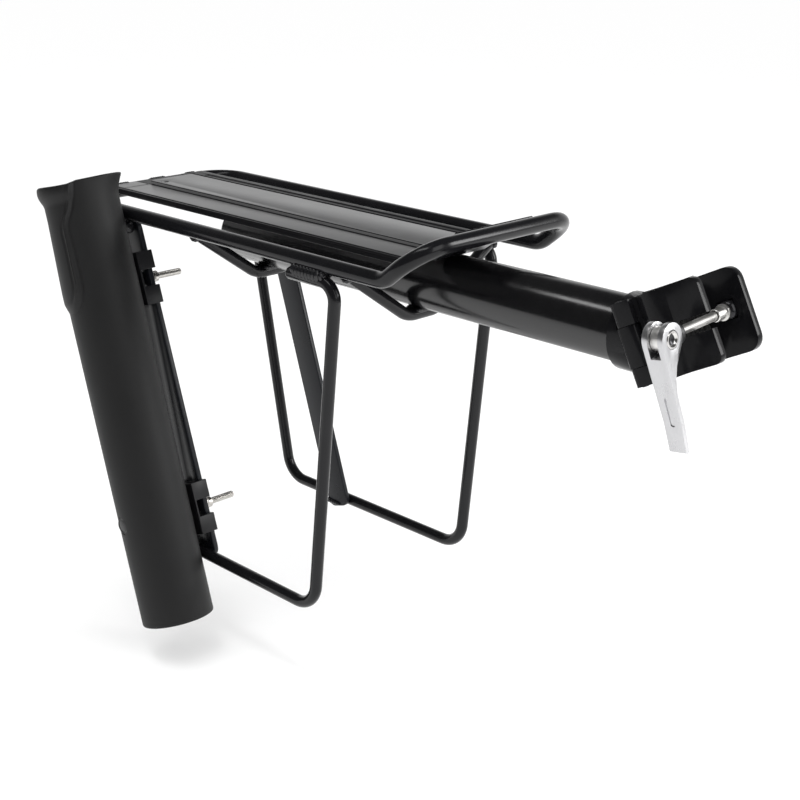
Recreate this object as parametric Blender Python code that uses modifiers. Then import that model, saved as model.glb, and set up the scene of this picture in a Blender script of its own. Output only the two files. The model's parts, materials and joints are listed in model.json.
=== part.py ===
"""Rear rack that clamps to a bicycle's seatpost, with a rod holder on its right strut.

Frame: +X forward, +Y to the rider's left, +Z up, in metres. The origin is the centre of the
seatpost clamp. The rack's rails run level, and the seatpost leans back through the clamp.
"""
import math

import bmesh
import bpy
from mathutils import Matrix, Vector

MM = 0.001
GAP = 0.3                       # between pieces that touch, in mm
SIDES = (("right", -1), ("left", 1))

# Rails, hoop and deck (all lengths below are in mm)
RAIL_R = 5.0
RAIL_Y = 68.0
RAIL_Z = 7.0
REAR_X = -483.0
HOOP_START_X = -159.0
HOOP_X = -131.0
HOOP_Z = 29.0
CORNER_R = 24.0
HOOP_CORNER_R = 24.0

PLATE_HALF = 34.0               # sloping plate from the hoop down to the deck
PLATE_LOW_HALF = 21.5
PLATE_T = 1.6
PLATE_TOP = -2.0                # along the slope, from the hoop rod's middle
PLATE_FOOT_X = -170.6

BEAM_R = 19.0
BEAM_WALL = 2.0
BEAM_Z = -9.5
BEAM_REAR_X = -374.0

DECK_REAR_X = REAR_X + RAIL_R + GAP
DECK_FRONT_X = -171.0
DECK_HALF = 43.5
DECK_MID_RIGHT = -14.0           # the raised middle's two edges
DECK_MID_LEFT = 22.5
DECK_STEP = 2.6
DECK_SIDE_T = 3.4
DECK_Z = BEAM_Z + BEAM_R + GAP
DECK_MID_REAR_X = -462.0        # the raised middle stops short of the deck's rear end
DECK_HOLE_R = 3.0
DECK_HOLE_X = -450.5
DECK_HOLE_Y = -10.0

# Bent rods below the rails
ROD_R = 4.0
HANGER_XS = (("front_hanger", -196.0), ("rear_hanger", -344.0))
HANGER_BEND_Y = 13.0
HANGER_BEND_R = 20.0
LOOP_Y = 69.0
LOOP_TOP_FRONT_X = -197.5
LOOP_LEG = 42.0
LOOP_LOW_FRONT_X = -222.5
LOOP_LOW_REAR_X = -413.0
LOOP_TOP_REAR_X = -455.0
LOOP_LOW_Z = -226.0
LOOP_BEND_R = 19.0

# Flat struts, inside the loops
STRUT_W = 21.0
STRUT_T = 3.6
STRUT_TOP_X = -420.0
STRUT_SLOPE = 0.325             # forward run for each mm of drop
STRUT_TOP_Z = RAIL_Z - RAIL_R - GAP
STRUT_Y = LOOP_Y - ROD_R - GAP - STRUT_T / 2

# Rod holder
HOLDER_R = 25.0
HOLDER_WALL = 2.5
HOLDER_Y = -98.7
HOLDER_X = -418.2               # where its axis crosses the rails' height
HOLDER_SLOPE = 0.305
HOLDER_TOP = 25.0
HOLDER_BOTTOM = -282.5
PAD_OUT = 2.2                   # raised pad on the holder's outer rear side
PAD_ANGLE = math.radians(-127)
PAD_HALF = math.radians(60)
PAD_LENGTH = 68.0
PAD_RISE = (23.0, 72.0)         # depths between which the pad grows to its full height
PAD_DROP = 1.5
LIP_OUT = 5.0                   # outward lip of the mouth, towards the rack
LIP_ANGLE = math.radians(60)
LIP_HALF = math.radians(75)
LIP_LENGTH = 13.0
PLUG_R = 5.8                    # closes the hole that a driver goes through to the lower bolt
PLUG_DEPTH = 204.0
PLUG_T = 2.0

# Clips on the right strut
CLIP_DROPS = (("upper", 40.8), ("lower", 197.0))
CLIP_HOOK_IN = 5.8
CLIP_HOOK_OUT = 18.5
CLIP_WRAP = 2.2
CLIP_LIP_T = 1.4
CLIP_BOLT_R = 2.4
CLIP_BOLT_END_Y = -32.0
BOLT_HEAD_T = 1.8
BOLT_HEAD_GAP = 1.6             # room for the curve of the wall
SPACER_T = 6.8
WASHER_T = 1.2
WASHER_R = 5.2
NUT_T = 4.0
NUT_R = 4.6
BOLT_HEAD_R = 4.2
HOLE_GAP = 0.35

# Seatpost clamp, in its own pitched frame: x forward, y left, z along the seatpost
CLAMP_PITCH = math.radians(27)
JAW_HALF_H = 23.2
JAW_IN_R = 16.4
JAW_OUT_R = 21.8
JAW_FRONT = 30.4
JAW_FACE_Y = 15.5
JAW_T = 4.3
BODY_REAR = -27.0
BEAM_END = -26.4               # how far forward the beam reaches inside the clamp
COLLAR_R = 22.0
COLLAR_REAR_X = -35.0
COLLAR_FRONT_X = -21.5
HINGE_X = -21.5
HINGE_Y = -20.0
KNUCKLE_R = 4.6
HINGE_PIN_R = 2.0
KNUCKLE_LOW = -13.0
KNUCKLE_HIGH = 10.0
LINER_OUT_R = 16.1
LINER_IN_R = 14.6
LINER_HALF_H = 22.0
LEFT_LINER_HALF_H = 24.5         # its ends stand out of the jaws
JAW_CORNER_R = 8.0
NEAR_JAW_CORNER_R = 4.5

SKEWER_X = 18.0
SKEWER_Z = 1.2
SKEWER_TILT = math.radians(3)   # the skewer droops a little in its slot
SKEWER_R = 2.5
PIVOT_Y = 17.0
PIVOT_R = 5.4
PIVOT_HALF_H = 5.0
SLOT_HALF = 4.4
SLOT_Z = -0.7
CAM_REACH = 61.8                # from the pivot nut's axis to the cam pin's axis
CAM_R = 4.8
CAM_HALF = 6.6
LEVER_TURN = math.radians(18.5)   # how far the lever is turned about the skewer
LEVER_LEAN = math.radians(13)   # how far the handle leans towards the jaw
EAR_R = 8.7
EAR_T = 3.2
EYE_R = 6.6                     # the skewer's eye, between the lever's ears
FORK_DEPTH = 7.4
SLEEVE_R = 3.5
SLEEVE_COLLAR_R = 4.6
SLEEVE_LENGTH = 9.0
LEVER_LENGTH = 62.0
LEVER_HALF_W = 6.3
LEVER_TAPER = 0.2               # how much narrower the handle's end is

BLACK = (0.012, 0.012, 0.014)


# ---------------------------------------------------------------- scene and materials

def clear_scene():
    for item in list(bpy.data.objects):
        bpy.data.objects.remove(item, do_unlink=True)


def new_collection(name):
    group = bpy.data.collections.new(name)
    bpy.context.scene.collection.children.link(group)
    return group


def new_material(name, color, roughness, metallic):
    material = bpy.data.materials.new(name)
    material.use_nodes = True
    shader = material.node_tree.nodes["Principled BSDF"]
    shader.inputs["Base Color"].default_value = (*color, 1.0)
    shader.inputs["Roughness"].default_value = roughness
    shader.inputs["Metallic"].default_value = metallic
    return material


def finish(obj, group, material):
    """Puts an object in its collection, with its material and smooth round sides."""
    for old in list(obj.users_collection):
        old.objects.unlink(obj)
    group.objects.link(obj)
    obj.data.materials.clear()
    obj.data.materials.append(material)
    obj.data.shade_smooth()
    obj.data.set_sharp_from_angle(angle=math.radians(35))
    return obj


# ---------------------------------------------------------------- outlines and paths

def arc(cx, cy, r, start, end, steps):
    """Points of an arc, angles in degrees."""
    points = []
    for i in range(steps + 1):
        a = math.radians(start + (end - start) * i / steps)
        points.append((cx + r * math.cos(a), cy + r * math.sin(a)))
    return points


def bend(points, radius, steps, closed=False):
    """A path through the points with each inner corner replaced by an arc."""
    points = [Vector(p) for p in points]
    path = []
    count = len(points)
    for i, corner in enumerate(points):
        if not closed and i in (0, count - 1):
            path.append(corner)
            continue
        before = (points[i - 1] - corner).normalized()
        after = (points[(i + 1) % count] - corner).normalized()
        half = before.angle(after) / 2
        reach = radius / math.tan(half)
        centre = corner + (before + after).normalized() * (radius / math.sin(half))
        first = corner + before * reach - centre
        last = corner + after * reach - centre
        for k in range(steps + 1):
            t = k / steps
            path.append(centre + turn(first, last, t))
    return path


def turn(first, last, t):
    """The vector a share t of the way round from one radius to the next."""
    whole = first.angle(last)
    a = math.sin((1 - t) * whole) / math.sin(whole)
    b = math.sin(t * whole) / math.sin(whole)
    return first * a + last * b


# ---------------------------------------------------------------- solids

def curve_to_mesh(curve, name):
    """The evaluated curve as a mesh with its caps welded on."""
    holder = bpy.data.objects.new(name + "_curve", curve)
    bpy.context.scene.collection.objects.link(holder)
    graph = bpy.context.evaluated_depsgraph_get()
    mesh = bpy.data.meshes.new_from_object(holder.evaluated_get(graph))
    bpy.data.objects.remove(holder, do_unlink=True)
    body = bmesh.new()
    body.from_mesh(mesh)
    bmesh.ops.remove_doubles(body, verts=body.verts, dist=0.00001)
    bmesh.ops.recalc_face_normals(body, faces=body.faces)
    body.to_mesh(mesh)
    body.free()
    mesh.name = name
    return mesh


def rod(name, path, radius, closed=False, resolution=1):
    """A bent round rod along a path given in mm."""
    curve = bpy.data.curves.new(name + "_path", "CURVE")
    curve.dimensions = "3D"
    curve.bevel_depth = radius * MM
    curve.bevel_resolution = resolution
    curve.use_fill_caps = True
    spline = curve.splines.new("POLY")
    spline.points.add(len(path) - 1)
    for point, place in zip(spline.points, path):
        point.co = (*(Vector(place) * MM), 1.0)
    spline.use_cyclic_u = closed
    return bpy.data.objects.new(name, curve_to_mesh(curve, name))


def plate(name, outline, half, holes=()):
    """A flat outline in x and y, in mm, thickened to half on both sides along z."""
    curve = bpy.data.curves.new(name + "_outline", "CURVE")
    curve.dimensions = "2D"
    curve.fill_mode = "BOTH"
    curve.extrude = half * MM
    for ring in (outline, *holes):
        spline = curve.splines.new("POLY")
        spline.points.add(len(ring) - 1)
        for point, place in zip(spline.points, ring):
            point.co = (place[0] * MM, place[1] * MM, 0.0, 1.0)
        spline.use_cyclic_u = True
    return bpy.data.objects.new(name, curve_to_mesh(curve, name))


def cylinder(name, radius, length, sides=24):
    """A cylinder along z, centred on the origin."""
    mesh = bpy.data.meshes.new(name)
    body = bmesh.new()
    bmesh.ops.create_cone(body, cap_ends=True, segments=sides, radius1=radius * MM,
                          radius2=radius * MM, depth=length * MM)
    body.to_mesh(mesh)
    body.free()
    return bpy.data.objects.new(name, mesh)


def box(name, x, y, z):
    """A box of half sizes x, y and z, centred on the origin."""
    mesh = bpy.data.meshes.new(name)
    body = bmesh.new()
    bmesh.ops.create_cube(body, size=2.0)
    bmesh.ops.scale(body, vec=(x * MM, y * MM, z * MM), verts=body.verts)
    body.to_mesh(mesh)
    body.free()
    return bpy.data.objects.new(name, mesh)


def turned(name, profile, steps=32):
    """A profile of (radius, height) in mm, top to bottom down its outer side, spun about z."""
    mesh = bpy.data.meshes.new(name)
    points = [(r * MM, 0.0, z * MM) for r, z in profile]
    count = len(points)
    mesh.from_pydata(points, [(i, (i + 1) % count) for i in range(count)], [])
    obj = bpy.data.objects.new(name, mesh)
    spin = obj.modifiers.new("spin", "SCREW")
    spin.steps = steps
    spin.render_steps = steps
    spin.use_merge_vertices = True
    spin.merge_threshold = 0.00001
    return obj


def axes(location, x=None, y=None, z=None):
    """A placement from a point in mm and the directions of two local axes."""
    if x is None:
        x = Vector(y).cross(Vector(z))
    if y is None:
        y = Vector(z).cross(Vector(x))
    if z is None:
        z = Vector(x).cross(Vector(y))
    turned_axes = Matrix((Vector(x).normalized(), Vector(y).normalized(), Vector(z).normalized()))
    return Matrix.Translation(Vector(location) * MM) @ turned_axes.transposed().to_4x4()


def boolean(obj, other, operation, cutters):
    """Cuts or joins with another object, which goes among the cutters."""
    for old in list(other.users_collection):
        old.objects.unlink(other)
    cutters.objects.link(other)
    other.hide_render = True
    other.display_type = "WIRE"
    step = obj.modifiers.new(operation.lower(), "BOOLEAN")
    step.operation = operation
    step.solver = "EXACT"
    step.object = other
    return step


def cut(obj, other, cutters):
    return boolean(obj, other, "DIFFERENCE", cutters)


def join(obj, other, cutters):
    return boolean(obj, other, "UNION", cutters)


# ---------------------------------------------------------------- load frame

def build_rail_frame(group, paint):
    """One rod: two rails, the rear cross rod and the hoop that rises at the front."""
    rear = bend([(HOOP_START_X - 60, -RAIL_Y, RAIL_Z), (REAR_X, -RAIL_Y, RAIL_Z),
                 (REAR_X, RAIL_Y, RAIL_Z), (HOOP_START_X - 60, RAIL_Y, RAIL_Z)], CORNER_R, 6)
    rise = bend([(HOOP_START_X - 60, RAIL_Y, RAIL_Z), (HOOP_START_X, RAIL_Y, RAIL_Z),
                 (HOOP_START_X + 12, RAIL_Y, RAIL_Z + 12 * hoop_slope())], 16.0, 3)
    hoop = bend([(HOOP_START_X + 6, RAIL_Y, RAIL_Z + 6 * hoop_slope()),
                 (HOOP_X, RAIL_Y, HOOP_Z), (HOOP_X, -RAIL_Y, HOOP_Z),
                 (HOOP_START_X + 6, -RAIL_Y, RAIL_Z + 6 * hoop_slope())], HOOP_CORNER_R, 6)
    fall = [Vector((p.x, -p.y, p.z)) for p in reversed(rise[1:-1])]
    path = rear[1:-1] + rise[1:-1] + hoop[1:-1] + fall
    frame = rod("rail_frame", path, RAIL_R, closed=True, resolution=2)
    return finish(frame, group, paint)


def hoop_slope():
    return (HOOP_Z - RAIL_Z) / (HOOP_X - HOOP_START_X)


def build_beam(group, cutters, clamp, paint, plastic):
    """The round main beam, cut at its front to meet the pitched clamp, and its rear plug."""
    length = -BEAM_REAR_X + 10
    place = axes((BEAM_REAR_X + length / 2, 0, BEAM_Z), x=(0, 1, 0), z=(1, 0, 0))
    beam = cylinder("main_beam", BEAM_R, length, 40)
    beam.matrix_world = place
    bore = cylinder("beam_bore", BEAM_R - BEAM_WALL, length + 20, 40)
    bore.matrix_world = place
    cut(beam, bore, cutters)
    end = box("beam_end_cut", 60, 60, 60)
    end.matrix_world = clamp @ Matrix.Translation(Vector((BEAM_END + 60, 0, 0)) * MM)
    cut(beam, end, cutters)
    finish(beam, group, paint)
    inner = BEAM_R - BEAM_WALL - GAP
    plug = turned("beam_end_plug", [(0, 2.6), (BEAM_R - 3.5, 2.6), (BEAM_R - 0.6, 0.8),
                                    (BEAM_R - 0.6, 0), (inner, 0), (inner, -9), (0, -9)], 40)
    plug.data = solid_of_revolution(plug)
    plug.matrix_world = axes((BEAM_REAR_X - GAP, 0, BEAM_Z), x=(0, 1, 0), z=(-1, 0, 0))
    finish(plug, group, plastic)


def solid_of_revolution(obj):
    """The screw's result as a mesh, with the points on the axis merged."""
    bpy.context.scene.collection.objects.link(obj)
    graph = bpy.context.evaluated_depsgraph_get()
    mesh = bpy.data.meshes.new_from_object(obj.evaluated_get(graph))
    bpy.context.scene.collection.objects.unlink(obj)
    obj.modifiers.clear()
    body = bmesh.new()
    body.from_mesh(mesh)
    bmesh.ops.remove_doubles(body, verts=body.verts, dist=0.00001)
    bmesh.ops.dissolve_degenerate(body, edges=body.edges, dist=0.000001)
    loose = [edge for edge in body.edges if not edge.link_faces]
    bmesh.ops.delete(body, geom=loose, context="EDGES")
    bmesh.ops.recalc_face_normals(body, faces=body.faces)
    body.to_mesh(mesh)
    body.free()
    return mesh


def build_deck(group, cutters, deck_metal):
    """A flat-bottomed extrusion with a raised middle."""
    low = DECK_Z
    side = low + DECK_SIDE_T
    top = side + DECK_STEP
    half = (DECK_FRONT_X - DECK_REAR_X) / 2
    outline = [(-DECK_HALF, low), (DECK_HALF, low), (DECK_HALF, side),
               (DECK_MID_LEFT + 0.6, side), (DECK_MID_LEFT, top), (DECK_MID_RIGHT, top),
               (DECK_MID_RIGHT - 0.6, side), (-DECK_HALF, side)]
    deck = plate("deck_plate", outline, half)
    deck.matrix_world = axes((DECK_REAR_X + half, 0, 0), x=(0, 1, 0), z=(1, 0, 0))
    step = box("deck_mid_end", 20, DECK_HALF, 10)
    step.location = ((DECK_MID_REAR_X - 20) * MM, 0, (side + 10) * MM)
    cut(deck, step, cutters)
    hole = cylinder("deck_hole", DECK_HOLE_R, 40, 20)
    hole.location = (DECK_HOLE_X * MM, DECK_HOLE_Y * MM, 0)
    cut(deck, hole, cutters)
    finish(deck, group, deck_metal)


def build_hoop_plate(group, cutters, paint):
    """A bent plate that lies in the hoop's slope, wide at its top, with a foot on the beam."""
    slope = math.atan(hoop_slope())
    along = Vector((math.cos(slope), math.sin(slope)))
    out = Vector((-along.y, along.x))
    low = Vector((HOOP_X, HOOP_Z)) + out * (RAIL_R + GAP)
    under = DECK_Z
    bend_x = low.x - (low.y - under) / along.y * along.x
    top = low + along * PLATE_TOP
    rise = PLATE_T * math.tan(slope / 2)
    over = top + out * PLATE_T
    outline = [(PLATE_FOOT_X, under), (bend_x, under), tuple(top), tuple(over),
               (bend_x - rise, under + PLATE_T), (PLATE_FOOT_X, under + PLATE_T)]
    piece = plate("hoop_plate", outline, PLATE_HALF)
    piece.matrix_world = axes((0, 0, 0), x=(1, 0, 0), y=(0, 0, 1))
    for side, sign in SIDES:
        wedge = [(PLATE_FOOT_X - 5, sign * PLATE_LOW_HALF), (bend_x, sign * PLATE_LOW_HALF),
                 (top.x, sign * PLATE_HALF), (top.x, sign * (PLATE_HALF + 20)),
                 (PLATE_FOOT_X - 5, sign * (PLATE_HALF + 20))]
        trim = plate(side + "_plate_trim", wedge, 60)
        cut(piece, trim, cutters)
    return finish(piece, group, paint)


def build_hangers(group, paint):
    """Rods that hang from both rails and carry the beam."""
    low = BEAM_Z - BEAM_R - GAP - ROD_R
    slope = math.atan2(RAIL_Z - low, RAIL_Y - HANGER_BEND_Y)
    reach = RAIL_R + GAP
    end_y = RAIL_Y - reach * math.cos(slope)
    end_z = RAIL_Z - reach * math.sin(slope)
    for name, x in HANGER_XS:
        path = bend([(x, -end_y, end_z), (x, -HANGER_BEND_Y, low), (x, HANGER_BEND_Y, low),
                     (x, end_y, end_z)], HANGER_BEND_R, 5)
        finish(rod(name, path, ROD_R), group, paint)


def build_side_loops(group, paint):
    """The rods that keep a bag off the wheel, with short legs under the rails."""
    leg_z = RAIL_Z - RAIL_R - GAP - ROD_R
    for side, sign in SIDES:
        y = sign * LOOP_Y
        corners = [(LOOP_TOP_FRONT_X - LOOP_LEG, y, leg_z), (LOOP_TOP_FRONT_X, y, leg_z),
                   (LOOP_LOW_FRONT_X, y, LOOP_LOW_Z), (LOOP_LOW_REAR_X, y, LOOP_LOW_Z),
                   (LOOP_TOP_REAR_X, y, leg_z), (LOOP_TOP_REAR_X + LOOP_LEG, y, leg_z)]
        upper_front = bend(corners[0:3], 11.0, 4)
        lower = bend(corners[1:5], LOOP_BEND_R, 5)
        upper_rear = bend(corners[3:6], 9.0, 4)
        path = upper_front[:-1] + lower[1:-1] + upper_rear[1:]
        finish(rod(side + "_side_loop", path, ROD_R), group, paint)


def strut_point(drop):
    """The middle of a strut at a drop below its top, as x and z."""
    return STRUT_TOP_X + drop * STRUT_SLOPE, STRUT_TOP_Z - drop


def strut_axes(drop, y):
    """x across the strut, y inwards from the right, z up along the strut."""
    x, z = strut_point(drop)
    return axes((x, y, z), y=(0, 1, 0), z=(-STRUT_SLOPE, 0, 1))


def build_struts(group, cutters, paint):
    """Flat bars from the rails to the loops, the right one drilled for the clip bolts."""
    drop = STRUT_TOP_Z - LOOP_LOW_Z + 2.0
    length = drop * math.hypot(1, STRUT_SLOPE)
    half_w = STRUT_W / 2
    corners = [(-half_w, 0, 0), (half_w, 0, 0), (half_w, -length, 0), (-half_w, -length, 0)]
    outline = [(p.x, p.y) for p in bend(corners, 6.0, 4, closed=True)]
    for side, sign in SIDES:
        strut = plate(side + "_strut", outline, STRUT_T / 2)
        x, z = strut_point(2.0)
        strut.matrix_world = axes((x, sign * STRUT_Y, z), y=(-STRUT_SLOPE, 0, 1), z=(0, -1, 0))
        if sign < 0:
            for level, at in CLIP_DROPS:
                hole = cylinder(level + "_strut_hole", CLIP_BOLT_R + HOLE_GAP, 20, 16)
                hole.matrix_world = strut_axes(at, -STRUT_Y) @ Matrix.Rotation(math.pi / 2, 4, "X")
                cut(strut, hole, cutters)
        finish(strut, group, paint)


# ---------------------------------------------------------------- rod holder and its clips

def bump(x):
    """A smooth hill, 1 at x = 0 and 0 from |x| = 1 on."""
    return 0.0 if abs(x) >= 1 else (1 - x * x) ** 2


def shelf(x):
    """1 well inside |x| < 1 and 0 outside, with a soft edge."""
    edge = min(max((1 - abs(x)) / 0.2, 0.0), 1.0)
    return edge * edge * (3 - 2 * edge)


def angle_between(a, b):
    return (a - b + math.pi) % (2 * math.pi) - math.pi


def holder_offset(angle, depth):
    """How far the holder's wall stands out from its plain radius, depth mm below the mouth."""
    side = angle_between(angle, PAD_ANGLE) / PAD_HALF
    mouth = bump(min(depth / 30.0, 1.0))
    width = 1 + 0.4 * mouth
    round_end = math.sqrt(max(0.0, 1 - min(1.0, abs(side) / width) ** 2))
    end = PAD_LENGTH + 16 * round_end
    grown = min(max((depth - PAD_RISE[0]) / (PAD_RISE[1] - PAD_RISE[0]), 0.2), 1.0)
    pad = PAD_OUT * grown * shelf(side / width) * min(max((end - depth) / 5.0, 0.0), 1.0)
    lip = LIP_OUT * bump(angle_between(angle, LIP_ANGLE) / LIP_HALF)
    lip *= max(0.0, 1 - depth / LIP_LENGTH) ** 1.7
    return pad + lip


def holder_axes():
    return axes((HOLDER_X, HOLDER_Y, RAIL_Z), y=(0, 1, 0), z=(-HOLDER_SLOPE, 0, 1))


def build_holder(group, cutters, plastic, pin_plastic):
    """An open tube lofted down its length, because its pad and lip are on one side only."""
    sides = 48
    depths = [0, 3, 7, 12, 18, 26, 36, 50, 66, 84, 90, 94, 98, 102, 106, 112]
    depths += [HOLDER_TOP - HOLDER_BOTTOM - 1.5, HOLDER_TOP - HOLDER_BOTTOM]
    body = bmesh.new()
    rings = []
    for wall in (0.0, HOLDER_WALL):
        for depth in (depths if wall == 0 else depths[::-1]):
            ring = []
            for k in range(sides):
                a = 2 * math.pi * k / sides
                end_round = 0.8 if wall == 0 and depth in (0, depths[-1]) else 0.0
                r = HOLDER_R + holder_offset(a, depth) - wall - end_round
                drop = PAD_DROP * shelf(angle_between(a, PAD_ANGLE) / PAD_HALF) * max(0, 1 - depth / 12)
                z = HOLDER_TOP - depth - drop
                ring.append(body.verts.new((r * math.cos(a) * MM, r * math.sin(a) * MM, z * MM)))
            rings.append(ring)
    for i, ring in enumerate(rings):
        below = rings[(i + 1) % len(rings)]
        for k in range(sides):
            n = (k + 1) % sides
            body.faces.new((ring[k], below[k], below[n], ring[n]))
    bmesh.ops.recalc_face_normals(body, faces=body.faces)
    mesh = bpy.data.meshes.new("rod_holder")
    body.to_mesh(mesh)
    body.free()
    tube = bpy.data.objects.new("rod_holder", mesh)
    tube.matrix_world = holder_axes()
    x, z = strut_point(PLUG_DEPTH - 8.0)
    access = cylinder("access_hole", PLUG_R + GAP, 20, 24)
    access.matrix_world = axes((x - 5.0, HOLDER_Y - HOLDER_R, z), x=(1, 0, 0), z=(0, 1, 0))
    cut(tube, access, cutters)
    for level, drop in CLIP_DROPS:
        bore = cylinder(level + "_holder_bore", CLIP_BOLT_R + HOLE_GAP, 20, 16)
        bore.matrix_world = strut_axes(drop, HOLDER_Y + HOLDER_R) @ Matrix.Rotation(math.pi / 2, 4, "X")
        cut(tube, bore, cutters)
    finish(tube, group, plastic)
    plug = cylinder("access_plug", PLUG_R, PLUG_T, 24)
    plug.matrix_world = axes((x - 5.0, HOLDER_Y - HOLDER_R + PLUG_T / 2 + 0.8, z), x=(1, 0, 0), z=(0, 1, 0))
    finish(plug, group, pin_plastic)


def build_clips(group, cutters, plastic, steel):
    """Two clips: a saddle with two hooks round the strut, a spacer, a bolt, a washer and a nut."""
    outer = -STRUT_Y - STRUT_T / 2
    inner = -STRUT_Y + STRUT_T / 2
    for level, drop in CLIP_DROPS:
        place = strut_axes(drop, 0)
        build_clip(level, place, outer, inner, group, cutters, plastic)
        build_clip_bolt(level, place, outer, inner, group, cutters, steel)


def build_clip(level, place, outer, inner, group, cutters, plastic):
    back = HOLDER_Y + HOLDER_R + GAP + 0.5
    half_w = STRUT_W / 2 + GAP
    wrap = half_w + CLIP_WRAP
    lip = half_w - 3.0
    profile = [(-wrap, back), (wrap, back), (wrap, inner + CLIP_LIP_T), (lip, inner + CLIP_LIP_T),
               (lip, inner + GAP), (half_w, inner + GAP), (half_w, outer - GAP),
               (-half_w, outer - GAP), (-half_w, inner + GAP), (-lip, inner + GAP),
               (-lip, inner + CLIP_LIP_T), (-wrap, inner + CLIP_LIP_T)]
    clip = plate(level + "_clip", profile, CLIP_HOOK_OUT)
    clip.matrix_world = place
    window = box(level + "_clip_window", wrap + 5, 10.0, CLIP_HOOK_IN)
    window.matrix_world = place @ Matrix.Translation(Vector((0, outer - SPACER_T + 10.0, 0)) * MM)
    cut(clip, window, cutters)
    bore = cylinder(level + "_clip_bore", CLIP_BOLT_R + HOLE_GAP, 60, 16)
    bore.matrix_world = place @ axes((0, outer, 0), x=(1, 0, 0), z=(0, 1, 0))
    cut(clip, bore, cutters)
    curve = cylinder(level + "_clip_saddle", HOLDER_R + GAP, 80, 48)
    curve.matrix_world = holder_axes() @ Matrix.Translation((0, 0, (-HOLDER_TOP - drop_of(level)) * MM))
    cut(clip, curve, cutters)
    finish(clip, group, plastic)


def drop_of(level):
    return dict(CLIP_DROPS)[level]


def build_clip_bolt(level, place, outer, inner, group, cutters, steel):
    """The bolt with its flat head inside the holder, then spacer, washer and nut."""
    head_y = HOLDER_Y + HOLDER_R - HOLDER_WALL - BOLT_HEAD_GAP - BOLT_HEAD_T
    length = CLIP_BOLT_END_Y - head_y
    bolt = turned(level + "_clip_bolt", [(0, length), (CLIP_BOLT_R - 0.5, length),
                                         (CLIP_BOLT_R, length - 0.7), (CLIP_BOLT_R, BOLT_HEAD_T),
                                         (BOLT_HEAD_R, BOLT_HEAD_T), (BOLT_HEAD_R, 0.6),
                                         (BOLT_HEAD_R - 0.8, 0), (0, 0)], 16)
    bolt.data = solid_of_revolution(bolt)
    bolt.matrix_world = place @ axes((0, head_y, 0), x=(1, 0, 0), z=(0, 1, 0))
    finish(bolt, group, steel)
    washer_y = inner + GAP
    nut_y = washer_y + WASHER_T + GAP
    spacer_y = outer - SPACER_T + GAP
    washer = ring(level + "_clip_washer", place, washer_y, WASHER_T, WASHER_R, 24, cutters)
    nut = ring(level + "_clip_nut", place, nut_y, NUT_T, NUT_R, 6, cutters)
    spacer = ring(level + "_clip_spacer", place, spacer_y, SPACER_T - 2 * GAP, NUT_R, 4, cutters)
    for piece in (washer, nut, spacer):
        finish(piece, group, steel)


def ring(name, place, start_y, length, radius, sides, cutters):
    """A washer, nut or spacer round the clip bolt."""
    outside = cylinder(name, radius, length, sides)
    outside.matrix_world = place @ axes((0, start_y + length / 2, 0), x=(1, 0, 0), z=(0, 1, 0))
    hole = cylinder(name + "_bore", CLIP_BOLT_R + HOLE_GAP, length + 10, 16)
    hole.matrix_world = outside.matrix_world
    cut(outside, hole, cutters)
    return outside


# ---------------------------------------------------------------- seatpost clamp

def clamp_place(x, y, z, clamp):
    return clamp @ Matrix.Translation(Vector((x, y, z)) * MM)


def cross_hole(name, radius, length, place, sides=20):
    hole = cylinder(name, radius, length, sides)
    hole.matrix_world = place @ Matrix.Rotation(math.pi / 2, 4, "X")
    return hole


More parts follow.
